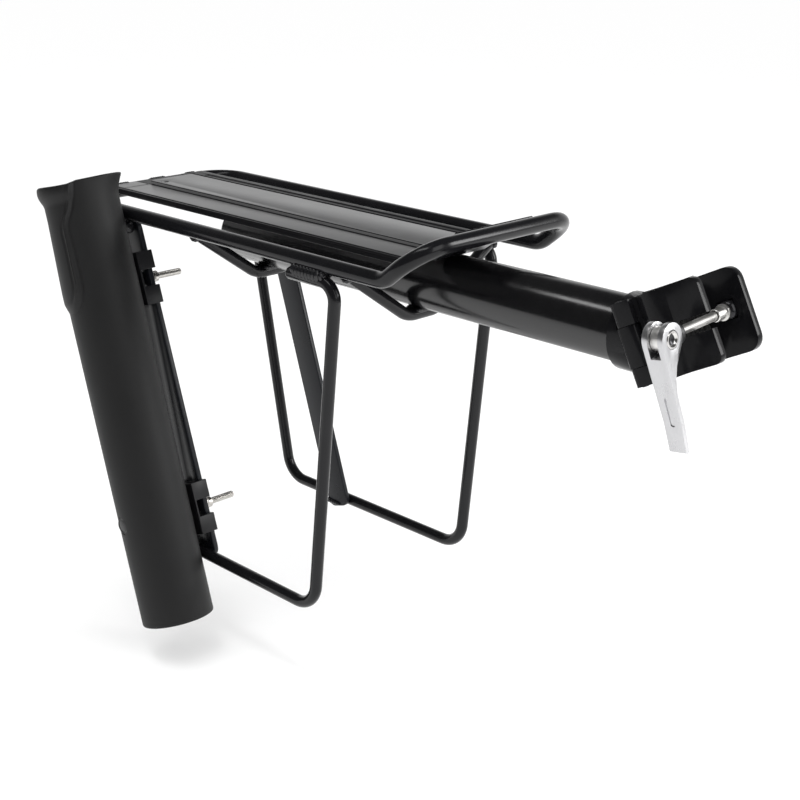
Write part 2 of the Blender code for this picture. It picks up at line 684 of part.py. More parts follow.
def build_clamp_body(group, cutters, clamp, metal):
    """Rear block, left jaw and the middle knuckle of the hinge, as one casting."""
    face = JAW_FACE_Y
    back = face + JAW_T
    flange = math.degrees(math.asin(face / JAW_IN_R))
    shoulder = math.degrees(math.asin(back / JAW_OUT_R))
    outline = [(JAW_FRONT, face), (JAW_FRONT, back)]
    outline += arc(0, 0, JAW_OUT_R, shoulder, 135, 8)
    outline += [(BODY_REAR + 3, 17.5), (BODY_REAR, 14.5), (BODY_REAR, -13.0)]
    outline += [(BODY_REAR + 1.5, -14.6), (-17.0, -14.6), (-14.5, -12.0)]
    outline += arc(0, 0, JAW_IN_R, 216, flange, 20)
    body = plate("clamp_body", outline, JAW_HALF_H)
    body.matrix_world = clamp
    soft_corners(body, cutters, clamp, 1, JAW_CORNER_R)
    collar = cylinder("beam_collar", COLLAR_R, COLLAR_FRONT_X - COLLAR_REAR_X, 40)
    collar.matrix_world = axes(((COLLAR_REAR_X + COLLAR_FRONT_X) / 2, 0, BEAM_Z), x=(0, 1, 0), z=(1, 0, 0))
    post_bore = cylinder("collar_bore", JAW_IN_R + 0.2, 120, 40)
    post_bore.matrix_world = clamp
    cut(collar, post_bore, cutters)
    join(body, collar, cutters)
    low, high = KNUCKLE_LOW + GAP, KNUCKLE_HIGH - GAP
    for name, start, end in (("top", high, JAW_HALF_H + 5), ("low", -JAW_HALF_H - 5, low)):
        room = box("knuckle_room_" + name, 7.5, 6.5, (end - start) / 2)
        room.matrix_world = clamp_place(HINGE_X + 1.5, HINGE_Y - 0.5, (start + end) / 2, clamp)
        cut(body, room, cutters)
    corners = [(BODY_REAR + 1, -12, 0), (BODY_REAR + 1, -24.4, 0), (-13.5, -24.4, 0), (-13.5, -12, 0)]
    outline = [(p.x, p.y) for p in bend(corners, 3.0, 4, closed=True)]
    knuckle = plate("body_knuckle", outline, (high - low) / 2)
    knuckle.matrix_world = clamp_place(0, 0, (high + low) / 2, clamp)
    join(body, knuckle, cutters)
    socket = cylinder("beam_socket", BEAM_R + GAP, 120, 40)
    socket.matrix_world = axes((COLLAR_REAR_X - 20, 0, BEAM_Z), x=(0, 1, 0), z=(1, 0, 0))
    stop = box("beam_socket_end", 60, 60, 60)
    stop.matrix_world = clamp @ Matrix.Translation(Vector((BEAM_END + GAP + 60, 0, 0)) * MM)
    cut(socket, stop, cutters)
    cut(body, socket, cutters)
    boss = cylinder("body_boss", 8.5, 9.0, 32)
    boss.matrix_world = clamp_place(SKEWER_X, back - 0.5, SKEWER_Z, clamp) \
        @ Matrix.Rotation(math.pi / 2, 4, "X")
    join(body, boss, cutters)
    pocket = cylinder("pivot_pocket", PIVOT_R + GAP, 2 * (PIVOT_HALF_H + GAP), 32)
    pocket.matrix_world = skewer_place(clamp)
    cut(body, pocket, cutters)
    bore = cylinder("body_pin_bore", HINGE_PIN_R + GAP, 3 * JAW_HALF_H, 16)
    bore.matrix_world = clamp_place(HINGE_X, HINGE_Y, 0, clamp)
    cut(body, bore, cutters)
    return finish(body, group, metal)


def soft_corners(body, cutters, clamp, sign, r):
    """Rounds the two front corners of a jaw, seen from its side."""
    corner = [(JAW_FRONT + 1, JAW_HALF_H + 1), (JAW_FRONT - r, JAW_HALF_H + 1)]
    corner += arc(JAW_FRONT - r, JAW_HALF_H - r, r, 90, 0, 6)
    corner += [(JAW_FRONT + 1, JAW_HALF_H - r)]
    for flip in (1, -1):
        points = [(x, flip * z) for x, z in corner]
        piece = plate(body.name + "_corner_" + ("top" if flip > 0 else "low"), points, 14.0)
        piece.matrix_world = clamp @ axes((0, sign * (JAW_FACE_Y + 7), 0), x=(1, 0, 0), y=(0, 0, 1))
        cut(body, piece, cutters)


def build_near_jaw(group, cutters, clamp, metal):
    """The right jaw: a curved wall, a flat flange with an open slot, and two hinge knuckles."""
    face = -JAW_FACE_Y
    back = face - JAW_T
    flange = math.degrees(math.asin(JAW_FACE_Y / JAW_IN_R))
    shoulder = math.degrees(math.asin((JAW_FACE_Y + JAW_T) / JAW_OUT_R))
    outline = [(JAW_FRONT, back), (JAW_FRONT, face)]
    outline += arc(0, 0, JAW_IN_R, -flange, -128, 9)
    outline += [(-12.6, -17.8), (-15.5, -20.5), (-16.0, -23.6)]
    outline += arc(0, 0, JAW_OUT_R, -118, -shoulder, 8)
    shift = [(x - HINGE_X, y - HINGE_Y) for x, y in outline]
    jaw = plate("near_jaw", shift, JAW_HALF_H)
    jaw.matrix_world = clamp_place(HINGE_X, HINGE_Y, 0, clamp)
    soft_corners(jaw, cutters, clamp, -1, NEAR_JAW_CORNER_R)
    for name, low, high in (("top", KNUCKLE_HIGH, JAW_HALF_H), ("low", -JAW_HALF_H, KNUCKLE_LOW)):
        middle = (low + high) / 2
        knuckle = cylinder("jaw_knuckle_" + name, KNUCKLE_R, high - low, 24)
        knuckle.matrix_world = clamp_place(HINGE_X, HINGE_Y, middle, clamp)
        join(jaw, knuckle, cutters)
        web = box("jaw_web_" + name, 5.0, 1.8, (high - low) / 2)
        web.matrix_world = clamp_place(HINGE_X + 5.0, HINGE_Y - KNUCKLE_R + 1.8, middle, clamp)
        join(jaw, web, cutters)
    room = box("body_knuckle_room", 10.0, 10.0, (KNUCKLE_HIGH - KNUCKLE_LOW) / 2)
    room.matrix_world = clamp_place(-21.5, -22, (KNUCKLE_HIGH + KNUCKLE_LOW) / 2, clamp)
    cut(jaw, room, cutters)
    slot = box("skewer_slot", 12.0, 12.0, SLOT_HALF)
    slot.matrix_world = clamp_place(SKEWER_X + 7.0, -20, SLOT_Z, clamp)
    cut(jaw, slot, cutters)
    slot_end = cross_hole("skewer_slot_end", SLOT_HALF, 24,
                          clamp_place(SKEWER_X - 5.0, -20, SLOT_Z, clamp))
    cut(jaw, slot_end, cutters)
    bore = cylinder("jaw_pin_bore", HINGE_PIN_R + GAP, 3 * JAW_HALF_H, 16)
    bore.matrix_world = clamp_place(HINGE_X, HINGE_Y, 0, clamp)
    cut(jaw, bore, cutters)
    return finish(jaw, group, metal)


def build_hinge_pin(group, clamp, steel):
    pin = cylinder("hinge_pin", HINGE_PIN_R, 2 * JAW_HALF_H + 1.0, 16)
    pin.matrix_world = clamp_place(HINGE_X, HINGE_Y, 0, clamp)
    return finish(pin, group, steel)


def build_liners(group, clamp, rubber):
    """Ribbed pads between the jaws and the seatpost."""
    for name, start, end, half in (("left_liner", 76, 208, LEFT_LINER_HALF_H),
                                   ("right_liner", -124, -74, LINER_HALF_H)):
        teeth = max(4, round(abs(end - start) / 11))
        outline = arc(0, 0, LINER_OUT_R, start, end, 16)
        step = (start - end) / teeth
        for k in range(teeth):
            a = end + step * k
            outline += arc(0, 0, LINER_IN_R, a, a + step * 0.5, 1)
            outline += arc(0, 0, LINER_IN_R + 0.7, a + step * 0.5, a + step, 1)
        shift = (HINGE_X, HINGE_Y) if name == "right_liner" else (0, 0)
        outline = [(x - shift[0], y - shift[1]) for x, y in outline]
        pad = plate(name, outline, half)
        pad.matrix_world = clamp_place(*shift, 0, clamp)
        finish(pad, group, rubber)


def build_skewer(group, cutters, clamp, steel, chrome, metal):
    """Barrel nut, skewer with its eye, sleeve, cupped washer and cam pin."""
    pivot = skewer_place(clamp)
    top, r = PIVOT_HALF_H, PIVOT_R
    nut = turned("pivot_nut", [(0, top), (r - 2.2, top), (r - 0.8, top - 1.4), (r, top - 3.4),
                               (r, 3.4 - top), (r - 0.8, 1.4 - top), (r - 2.2, -top), (0, -top)], 28)
    nut.data = solid_of_revolution(nut)
    nut.matrix_world = pivot
    finish(nut, group, metal)
    along = pivot @ Matrix.Rotation(math.pi / 2, 4, "X")
    start = PIVOT_R + GAP
    skewer = cylinder("skewer", SKEWER_R, CAM_REACH - start, 20)
    skewer.matrix_world = along @ Matrix.Translation((0, 0, (start + CAM_REACH) / 2 * MM))
    across = cam_place(clamp) @ Matrix.Rotation(math.pi / 2, 4, "Y")
    eye = cylinder("skewer_eye", EYE_R, 2 * (LEVER_HALF_W - EAR_T - GAP), 32)
    eye.matrix_world = across
    join(skewer, eye, cutters)
    eye_bore = cylinder("skewer_eye_bore", CAM_R + GAP, 40, 28)
    eye_bore.matrix_world = across
    cut(skewer, eye_bore, cutters)
    finish(skewer, group, chrome)
    bore, near = SKEWER_R + GAP, start + 0.3
    far = near + SLEEVE_LENGTH
    sleeve = turned("skewer_sleeve", [(bore, far), (SLEEVE_R - 0.4, far), (SLEEVE_R, far - 0.5),
                                      (SLEEVE_R, near + 2.0), (SLEEVE_COLLAR_R, near + 1.6),
                                      (SLEEVE_COLLAR_R, near), (bore, near)], 28)
    sleeve.data = solid_of_revolution(sleeve)
    sleeve.matrix_world = along
    finish(sleeve, group, steel)
    washer = cylinder("cupped_washer", 6.4, 4.4, 28)
    washer.matrix_world = along @ Matrix.Translation((0, 0, (CAM_REACH - EAR_R - 0.6) * MM))
    washer_bore = cylinder("washer_bore", bore, 20, 20)
    washer_bore.matrix_world = washer.matrix_world
    cut(washer, washer_bore, cutters)
    seat = cylinder("washer_seat", EAR_R + GAP, 30, 40)
    seat.matrix_world = across
    cut(washer, seat, cutters)
    finish(washer, group, metal)
    cam = cylinder("cam_pin", CAM_R, 2 * CAM_HALF, 28)
    cam.matrix_world = across
    finish(cam, group, chrome)


def skewer_place(clamp):
    """The pivot nut's frame, in which the skewer runs along -y."""
    return clamp_place(SKEWER_X, PIVOT_Y, SKEWER_Z, clamp) @ Matrix.Rotation(SKEWER_TILT, 4, "X")


def cam_place(clamp):
    """The lever's own frame: x along the cam pin, z up the lever."""
    along = skewer_place(clamp) @ Matrix.Translation((0, -CAM_REACH * MM, 0))
    return along @ Matrix.Rotation(LEVER_TURN, 4, "Y")


def build_lever(group, cutters, clamp, chrome):
    """A forked head round the cam pin, and a flat tapered handle with a rounded tip."""
    front = -EAR_R
    outline = arc(0, 0, EAR_R, 180, -30, 16)
    outline += [(-1.0, -14.0), (front + 5.0, -20.0), (front + 3.2, -28.0), (front + 3.6, -45.0)]
    outline += [(front + 2.2, -LEVER_LENGTH + 1), (front + 1.0, -LEVER_LENGTH),
                (front - 0.6, -LEVER_LENGTH + 1.2), (front + 0.7, -45.0), (front + 0.4, -28.0)]
    lever = plate("quick_release_lever", outline, LEVER_HALF_W)
    for vertex in lever.data.vertices:
        share = min(max(-vertex.co.y / MM / LEVER_LENGTH, 0.0), 1.0)
        vertex.co.z *= 1 - LEVER_TAPER * share
    place = cam_place(clamp) @ Matrix.Rotation(LEVER_LEAN, 4, "X")
    lever.matrix_world = place @ axes((0, 0, 0), x=(0, 1, 0), y=(0, 0, 1))
    bore = cylinder("lever_bore", CAM_R + 0.25, 40, 28)
    bore.matrix_world = place @ Matrix.Rotation(math.pi / 2, 4, "Y")
    cut(lever, bore, cutters)
    fork = box("lever_fork", LEVER_HALF_W - EAR_T, 20, 12)
    fork.matrix_world = place @ Matrix.Translation(Vector((0, 0, 12 - FORK_DEPTH)) * MM)
    cut(lever, fork, cutters)
    trough = plate("lever_trough", slot_outline(1.4, 17.0), 1.0)
    trough.matrix_world = place @ axes((0, front + 0.3, -38), x=(1, 0, 0), y=(0, 0, 1))
    cut(lever, trough, cutters)
    return finish(lever, group, chrome)


def slot_outline(radius, length):
    """A long hole with round ends, along y."""
    half = length / 2 - radius
    return arc(0, half, radius, 0, 180, 8) + arc(0, -half, radius, 180, 360, 8)


# ---------------------------------------------------------------- assembly

def new_empty(name, place, group):
    empty = bpy.data.objects.new(name, None)
    group.objects.link(empty)
    empty.matrix_world = place
    return empty


def hang(parent, place, names):
    """Parents objects to an empty at the given place and keeps them where they are."""
    for name in names:
        child = bpy.data.objects[name]
        kept = child.matrix_world.copy()
        child.parent = parent
        child.matrix_parent_inverse = place.inverted()
        child.matrix_world = kept


def parent_pieces(group, clamp):
    """Empties on the clamp's frame and on each joint's axis, with what turns about them."""
    clamp_frame = new_empty("clamp_frame", clamp, group)
    hang(clamp_frame, clamp, ("clamp_body", "left_liner", "hinge_pin"))
    hinge_place = clamp_place(HINGE_X, HINGE_Y, 0, clamp)
    hinge = new_empty("jaw_hinge_axis", hinge_place, group)
    hang(hinge, hinge_place, ("near_jaw", "right_liner"))
    pivot_place = skewer_place(clamp)
    pivot = new_empty("pivot_axis", pivot_place, group)
    hang(pivot, pivot_place, ("pivot_nut", "skewer", "skewer_sleeve", "cupped_washer", "cam_pin"))
    lever_place = cam_place(clamp)
    lever = new_empty("lever_axis", lever_place, group)
    hang(lever, lever_place, ("quick_release_lever",))


def main():
    clear_scene()
    group = new_collection("rear_rack")
    cutters = new_collection("cutters")
    clamp = Matrix.Rotation(-CLAMP_PITCH, 4, "Y")

    paint = new_material("black_paint", BLACK, 0.3, 0.0)
    beam_paint = new_material("beam_paint", (0.006, 0.006, 0.007), 0.12, 0.0)
    deck_metal = new_material("dark_deck", (0.12, 0.12, 0.12), 0.5, 0.6)
    holder_plastic = new_material("holder_plastic", (0.03, 0.032, 0.035), 0.6, 0.0)
    pin_plastic = new_material("pin_plastic", (0.02, 0.021, 0.024), 0.5, 0.0)
    clip_plastic = new_material("clip_plastic", (0.014, 0.014, 0.016), 0.45, 0.0)
    plug_plastic = new_material("plug_plastic", (0.014, 0.014, 0.016), 0.5, 0.0)
    cast_metal = new_material("cast_black", (0.01, 0.01, 0.012), 0.28, 0.0)
    liner_rubber = new_material("liner_rubber", (0.02, 0.02, 0.02), 0.7, 0.0)
    steel = new_material("nickel_steel", (0.6, 0.58, 0.55), 0.25, 1.0)
    chrome = new_material("polished_aluminium", (0.85, 0.85, 0.86), 0.15, 1.0)

    build_rail_frame(group, paint)
    build_beam(group, cutters, clamp, beam_paint, plug_plastic)
    build_deck(group, cutters, deck_metal)
    build_hoop_plate(group, cutters, paint)
    build_hangers(group, paint)
    build_side_loops(group, paint)
    build_struts(group, cutters, paint)
    build_holder(group, cutters, holder_plastic, pin_plastic)
    build_clips(group, cutters, clip_plastic, steel)
    build_clamp_body(group, cutters, clamp, cast_metal)
    build_near_jaw(group, cutters, clamp, cast_metal)
    build_hinge_pin(group, clamp, steel)
    build_liners(group, clamp, liner_rubber)
    build_skewer(group, cutters, clamp, steel, chrome, cast_metal)
    build_lever(group, cutters, clamp, chrome)
    parent_pieces(group, clamp)


main()
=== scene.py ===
"""Looks of the seatpost rear rack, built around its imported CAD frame.

Everything is in metres in the CAD's frame: +X forward, +Y left, +Z up, with the origin in
the middle of the seatpost clamp.
"""

import json
import math

import bmesh
import bpy
from mathutils import Matrix, Vector


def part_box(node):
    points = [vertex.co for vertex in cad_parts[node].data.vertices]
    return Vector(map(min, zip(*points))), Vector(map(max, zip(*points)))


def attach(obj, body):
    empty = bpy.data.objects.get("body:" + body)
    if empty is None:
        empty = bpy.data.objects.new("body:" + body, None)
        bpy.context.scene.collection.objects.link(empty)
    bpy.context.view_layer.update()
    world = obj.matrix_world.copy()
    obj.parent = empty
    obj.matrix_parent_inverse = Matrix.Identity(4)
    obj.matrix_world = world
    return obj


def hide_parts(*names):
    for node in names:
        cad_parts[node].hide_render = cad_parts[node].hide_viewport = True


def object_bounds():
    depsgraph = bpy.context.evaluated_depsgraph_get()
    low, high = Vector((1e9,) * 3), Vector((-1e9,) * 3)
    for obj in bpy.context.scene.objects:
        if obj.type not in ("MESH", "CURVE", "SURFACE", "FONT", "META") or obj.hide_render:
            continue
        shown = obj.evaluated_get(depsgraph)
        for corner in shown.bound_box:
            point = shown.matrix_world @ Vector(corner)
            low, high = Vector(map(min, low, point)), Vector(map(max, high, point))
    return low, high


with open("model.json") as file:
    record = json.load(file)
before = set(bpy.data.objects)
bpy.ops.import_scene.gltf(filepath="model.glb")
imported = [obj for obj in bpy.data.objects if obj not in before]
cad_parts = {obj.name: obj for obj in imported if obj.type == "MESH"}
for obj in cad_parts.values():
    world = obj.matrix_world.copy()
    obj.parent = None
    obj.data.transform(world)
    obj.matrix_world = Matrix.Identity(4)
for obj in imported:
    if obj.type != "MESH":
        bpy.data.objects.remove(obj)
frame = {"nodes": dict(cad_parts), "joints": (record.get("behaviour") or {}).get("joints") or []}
cad_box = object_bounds()

MM = 0.001
WELD_GAP = 0.3 * MM
RELIEF_DEPTH = 0.05 * MM
SIDES = (("right", -1), ("left", 1))
scene = bpy.context.scene


# ---------------------------------------------------------------- materials

def node(tree, kind, **values):
    """A new shader node with some of its settings."""
    made = tree.nodes.new(kind)
    for key, value in values.items():
        setattr(made, key, value)
    return made


def noise_at(tree, vector, scale, detail, rough):
    """A noise texture read at a vector."""
    made = node(tree, "ShaderNodeTexNoise")
    made.inputs["Scale"].default_value = scale
    made.inputs["Detail"].default_value = detail
    made.inputs["Roughness"].default_value = rough
    tree.links.new(vector, made.inputs["Vector"])
    return made.outputs["Fac"]


def mapped(tree, value, low, high, start=0.3, end=0.7):
    """A value that runs from start to end, stretched to run from low to high."""
    made = node(tree, "ShaderNodeMapRange")
    made.inputs["From Min"].default_value = start
    made.inputs["From Max"].default_value = end
    made.inputs["To Min"].default_value = low
    made.inputs["To Max"].default_value = high
    tree.links.new(value, made.inputs["Value"])
    return made.outputs["Result"]


def material(name, dark, light, rough, metallic=0.0, patch=40.0, grain=1800.0, bump=0.1,
             stretch=(1, 1, 1), ior=1.5):
    """A surface whose colour drifts in patches and whose fine grain shows in gloss and relief.

    rough is the range its roughness drifts over. patch and grain are the scales of the noises.
    """
    made = bpy.data.materials.new(name)
    made.use_nodes = True
    tree = made.node_tree
    shader = tree.nodes["Principled BSDF"]
    shader.inputs["Metallic"].default_value = metallic
    shader.inputs["IOR"].default_value = ior
    coords = node(tree, "ShaderNodeTexCoord").outputs["Object"]
    fit = node(tree, "ShaderNodeMapping")
    fit.inputs["Scale"].default_value = stretch
    tree.links.new(coords, fit.inputs["Vector"])
    vector = fit.outputs["Vector"]
    broad = noise_at(tree, coords, patch, 4.0, 0.6)
    fine = noise_at(tree, vector, grain, 2.0, 0.5)
    mix = node(tree, "ShaderNodeMix", data_type="RGBA")
    mix.inputs["A"].default_value = (*dark, 1)
    mix.inputs["B"].default_value = (*light, 1)
    both = node(tree, "ShaderNodeMath", operation="MULTIPLY_ADD")
    grain_share = 0.6
    both.inputs[1].default_value = grain_share
    tree.links.new(fine, both.inputs[0])
    tree.links.new(mapped(tree, broad, 0.0, 0.5), both.inputs[2])
    tree.links.new(both.outputs[0], mix.inputs["Factor"])
    tree.links.new(mix.outputs["Result"], shader.inputs["Base Color"])
    gloss = node(tree, "ShaderNodeMath", operation="ADD")
    tree.links.new(mapped(tree, broad, rough[0], rough[1]), gloss.inputs[0])
    tree.links.new(mapped(tree, fine, -0.02, 0.02), gloss.inputs[1])
    tree.links.new(gloss.outputs[0], shader.inputs["Roughness"])
    relief = node(tree, "ShaderNodeBump")
    relief.inputs["Strength"].default_value = bump
    relief.inputs["Distance"].default_value = RELIEF_DEPTH
    tree.links.new(fine, relief.inputs["Height"])
    tree.links.new(relief.outputs["Normal"], shader.inputs["Normal"])
    return made


PAINT = material("satin_paint", (0.004, 0.004, 0.005), (0.008, 0.008, 0.009), (0.16, 0.22),
                 grain=900, bump=0.08, ior=1.36)
WELD = material("painted_weld", (0.006, 0.006, 0.007), (0.013, 0.013, 0.015), (0.14, 0.24),
                grain=700, bump=0.25)
GLOSS = material("gloss_paint", (0.0015, 0.0015, 0.002), (0.004, 0.004, 0.0045), (0.15, 0.2),
                 grain=260, bump=0.05, ior=1.65)
DECK = material("brushed_deck", (0.19, 0.19, 0.192), (0.27, 0.27, 0.272), (0.38, 0.46), 0.7,
                grain=900, stretch=(0.02, 3.0, 1), bump=0.2)
# Dark paint for the deck's edge strips and rear band. On the riser it is painted shade.
TRIM_AND_SHADE = material("trim_and_shade_paint", (0.006, 0.006, 0.007), (0.012, 0.012, 0.013), (0.3, 0.4),
                grain=900, stretch=(0.05, 1, 1), bump=0.15, ior=1.14)
CAST = material("painted_casting", (0.003, 0.003, 0.0035), (0.008, 0.008, 0.009), (0.14, 0.22),
                grain=420, bump=0.12, patch=90, ior=1.22)
HOLDER = material("moulded_holder", (0.006, 0.006, 0.0063), (0.010, 0.0101, 0.0104), (0.5, 0.58),
                  grain=2600, bump=0.3, patch=16, ior=1.36)
CLIP = material("moulded_clip", (0.004, 0.004, 0.005), (0.008, 0.008, 0.009), (0.34, 0.44),
                grain=1800, bump=0.2, ior=1.35)
PLUG = material("moulded_plug", (0.005, 0.005, 0.006), (0.010, 0.010, 0.011), (0.35, 0.45),
                grain=1500, bump=0.2)
RUBBER = material("liner_rubber", (0.007, 0.007, 0.007), (0.014, 0.014, 0.014), (0.55, 0.66),
                  grain=2200, bump=0.4)
STRUT = material("strut_paint", (0.006, 0.0066, 0.0085), (0.010, 0.011, 0.014), (0.26, 0.34),
                 grain=900, bump=0.1, ior=1.32)
NICKEL = material("nickel_steel", (0.50, 0.48, 0.45), (0.64, 0.62, 0.59), (0.16, 0.26), 1.0,
                  grain=1200, bump=0.1, patch=160)
# Blackened steel. In the cam pin's dishes the same dark stands as painted shade.
BLACKENED_AND_SHADE = material("blackened_steel_and_shade", (0.012, 0.012, 0.014), (0.03, 0.03, 0.033), (0.15, 0.24),
                     0.6, grain=900, bump=0.1)
CHROME = material("chromed_steel", (0.56, 0.55, 0.54), (0.68, 0.67, 0.66), (0.16, 0.24), 1.0,
                  grain=1400, bump=0.05)
SATIN = material("satin_steel", (0.66, 0.65, 0.63), (0.78, 0.77, 0.75), (0.36, 0.46), 1.0,
                 grain=1400, bump=0.1)
POLISHED = material("polished_aluminium", (0.50, 0.50, 0.51), (0.60, 0.60, 0.61),
                    (0.26, 0.34), 1.0, grain=1400, bump=0.08, stretch=(1, 1, 0.08))


# ---------------------------------------------------------------- pieces

def link(obj):
    """Puts an object in the scene, unless it is there already."""
    if scene.collection.objects.get(obj.name) is None:
        scene.collection.objects.link(obj)


def add(obj, body, surface, slot, *nodes):
    """Links a piece, gives it its material and its body, and hides the nodes it stands for. slot,
    its finish, is not used.
    """
    link(obj)
    obj.data.materials.clear()
    obj.data.materials.append(surface)
    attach(obj, body)
    if nodes:
        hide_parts(*nodes)
    return obj


def smooth(obj, angle):
    """Smooth shading, kept crisp at edges sharper than an angle in degrees."""
    obj.data.shade_smooth()
    obj.data.set_sharp_from_angle(angle=math.radians(angle))
    return obj


def from_bmesh(name, body):
    """An object made of a bmesh, with its faces turned outward."""
    bmesh.ops.recalc_face_normals(body, faces=body.faces)
    mesh = bpy.data.meshes.new(name)
    body.to_mesh(mesh)
    body.free()
    return bpy.data.objects.new(name, mesh)


def settle(obj):
    """Applies an object's modifiers to its mesh."""
    link(obj)
    graph = bpy.context.evaluated_depsgraph_get()
    mesh = bpy.data.meshes.new_from_object(obj.evaluated_get(graph))
    obj.modifiers.clear()
    obj.data = mesh
    return obj


def soften(obj, width, segments=3, angle=32):
    """Rounds an object's sharp edges by a width in mm."""
    step = obj.modifiers.new("edges", "BEVEL")
    step.width = width * MM
    step.segments = segments
    step.limit_method = "ANGLE"
    step.angle_limit = math.radians(angle)
    step.miter_outer = "MITER_ARC"
    step.use_clamp_overlap = True
    settle(obj)
    return smooth(obj, 40)


def copy_of(name, piece_name):
    """A cleaned copy of a CAD node's mesh, with its flat faces whole again."""
    same_point = 0.004 * MM
    same_plane = math.radians(0.6)
    body = bmesh.new()
    body.from_mesh(frame["nodes"][name].data)
    bmesh.ops.remove_doubles(body, verts=body.verts, dist=same_point)
    bmesh.ops.dissolve_limit(body, angle_limit=same_plane, verts=body.verts, edges=body.edges)
    return from_bmesh(piece_name, body)


def refine(name, body, surface, slot, width, segments=3, angle=32):
    """Stands a rounded copy of a CAD node in its place."""
    piece = copy_of(name, name + "_finished")
    soften(piece, width, segments, angle)
    return add(piece, body, surface, slot, name)


# ---------------------------------------------------------------- solids

def in_metres(points):
    """Pairs of figures in mm turned into metres."""
    return [(a * MM, b * MM) for a, b in points]


def skin(body, rings, closed=False):
    """Faces between neighbouring rings, and over both ends of a row that isn't closed."""
    count = len(rings[0])
    pairs = list(zip(rings, rings[1:]))
    if closed:
        pairs.append((rings[-1], rings[0]))
    for ring, after in pairs:
        for k in range(count):
            n = (k + 1) % count
            body.faces.new((ring[k], ring[n], after[n], after[k]))
    if not closed:
        body.faces.new(rings[0][::-1])
        body.faces.new(rings[-1])


def extrude(name, section, start, end, height):
    """An outline in y and z, in mm, drawn out along x. start, end and height are in metres."""
    body = bmesh.new()
    points = in_metres(section)
    rings = [[body.verts.new((x, y, height + z)) for y, z in points] for x in (start, end)]
    skin(body, rings)
    return from_bmesh(name, body)


def turned(name, outline, place, sides=48):
    """An outline of (radius, height) in mm spun about its own z and then placed."""
    body = bmesh.new()
    rings = []
    for radius, height in in_metres(outline):
        if radius == 0:
            rings.append([body.verts.new((0, 0, height))])
            continue
        ring = []
        for k in range(sides):
            a = 2 * math.pi * k / sides
            ring.append(body.verts.new((radius * math.cos(a), radius * math.sin(a), height)))
        rings.append(ring)
    pairs = list(zip(rings, rings[1:]))
    if len(rings[0]) > 1 and len(rings[-1]) > 1:
        pairs.append((rings[-1], rings[0]))
    for ring, after in pairs:
        for k in range(sides):
            n = (k + 1) % sides
            if len(ring) == 1:
                body.faces.new((ring[0], after[n], after[k]))
            elif len(after) == 1:
                body.faces.new((ring[k], ring[n], after[0]))
            else:
                body.faces.new((ring[k], ring[n], after[n], after[k]))
    for vertex in body.verts:
        vertex.co = place @ vertex.co
    return smooth(from_bmesh(name, body), 35)


def block(name, low, high):
    """A box between two corners in metres."""
    body = bmesh.new()
    bmesh.ops.create_cube(body, size=1.0)
    size = Vector(high) - Vector(low)
    middle = (Vector(high) + Vector(low)) / 2
    for vertex in body.verts:
        vertex.co = Vector([vertex.co[i] * size[i] + middle[i] for i in range(3)])
    return from_bmesh(name, body)


def subtract(obj, cutter):
    """Cuts one object by another, which is then removed."""
    link(obj)
    link(cutter)
    step = obj.modifiers.new("cut", "BOOLEAN")
    step.operation = "DIFFERENCE"
    step.solver = "EXACT"
    step.object = cutter
    settle(obj)
    bpy.data.objects.remove(cutter, do_unlink=True)


# ---------------------------------------------------------------- paths and rods

def bend(points, radius, steps):
    """A path through the points with each inner corner replaced by an arc."""
    points = [Vector(p) for p in points]
    path = [points[0]]
    for i in range(1, len(points) - 1):
        corner = points[i]
        before = (points[i - 1] - corner).normalized()
        after = (points[i + 1] - corner).normalized()
        half = before.angle(after) / 2
        reach = radius / math.tan(half)
        centre = corner + (before + after).normalized() * (radius / math.sin(half))
        first = corner + before * reach - centre
        last = corner + after * reach - centre
        whole = first.angle(last)
        for k in range(steps + 1):
            t = k / steps
            a = math.sin((1 - t) * whole) / math.sin(whole)
            b = math.sin(t * whole) / math.sin(whole)
            path.append(centre + first * a + last * b)
    path.append(points[-1])
    return path


def frames_along(path, closed):
    """The sideways directions at each point of a path, turned as little as possible."""
    count = len(path)
    ahead = []
    for i in range(count):
        after = path[(i + 1) % count] if closed or i < count - 1 else path[i]
        before = path[i - 1] if closed or i > 0 else path[i]
        ahead.append((after - before).normalized())
    side = ahead[0].orthogonal().normalized()
    sides = [side]
    for i in range(1, count):
        side = ahead[i - 1].rotation_difference(ahead[i]) @ side
        sides.append(side.normalized())
    twist = 0.0
    if closed:
        last = ahead[-1].rotation_difference(ahead[0]) @ side
        twist = math.atan2(last.cross(sides[0]).dot(ahead[0]), last.dot(sides[0]))
    across = []
    for i in range(count):
        spin = Matrix.Rotation(twist * i / count, 3, ahead[i])
        x = spin @ sides[i]
        across.append((x, ahead[i].cross(x)))
    return across


def sweep(name, path, radius, sides=32, closed=False, shares=None, round_end=0.25):
    """A round rod along a path in metres. shares scale its radius at each point.

    The ends of an open rod are rounded over a share of its radius.
    """
    path = [Vector(p) for p in path]
    if not closed:
        start = (path[1] - path[0]).normalized() * radius * round_end
        end = (path[-2] - path[-1]).normalized() * radius * round_end
        shares = list(shares) if shares else [1.0] * len(path)
        partway = 0.3
        path = [path[0], path[0] + start * partway, path[0] + start, *path[1:-1],
                path[-1] + end, path[-1] + end * partway, path[-1]]
        edge = 1 - round_end
        near = 1 - partway * round_end
        shares = [shares[0] * edge, shares[0] * near, *shares, shares[-1] * near,
                  shares[-1] * edge]
    elif shares is None:
        shares = [1.0] * len(path)
    across = frames_along(path, closed)
    body = bmesh.new()
    rings = []
    for point, (x, y), share in zip(path, across, shares):
        ring = []
        for k in range(sides):
            a = 2 * math.pi * k / sides
            out = x * math.cos(a) + y * math.sin(a)
            ring.append(body.verts.new(point + out * radius * share))
        rings.append(ring)
    skin(body, rings, closed)
    return smooth(from_bmesh(name, body), 50)


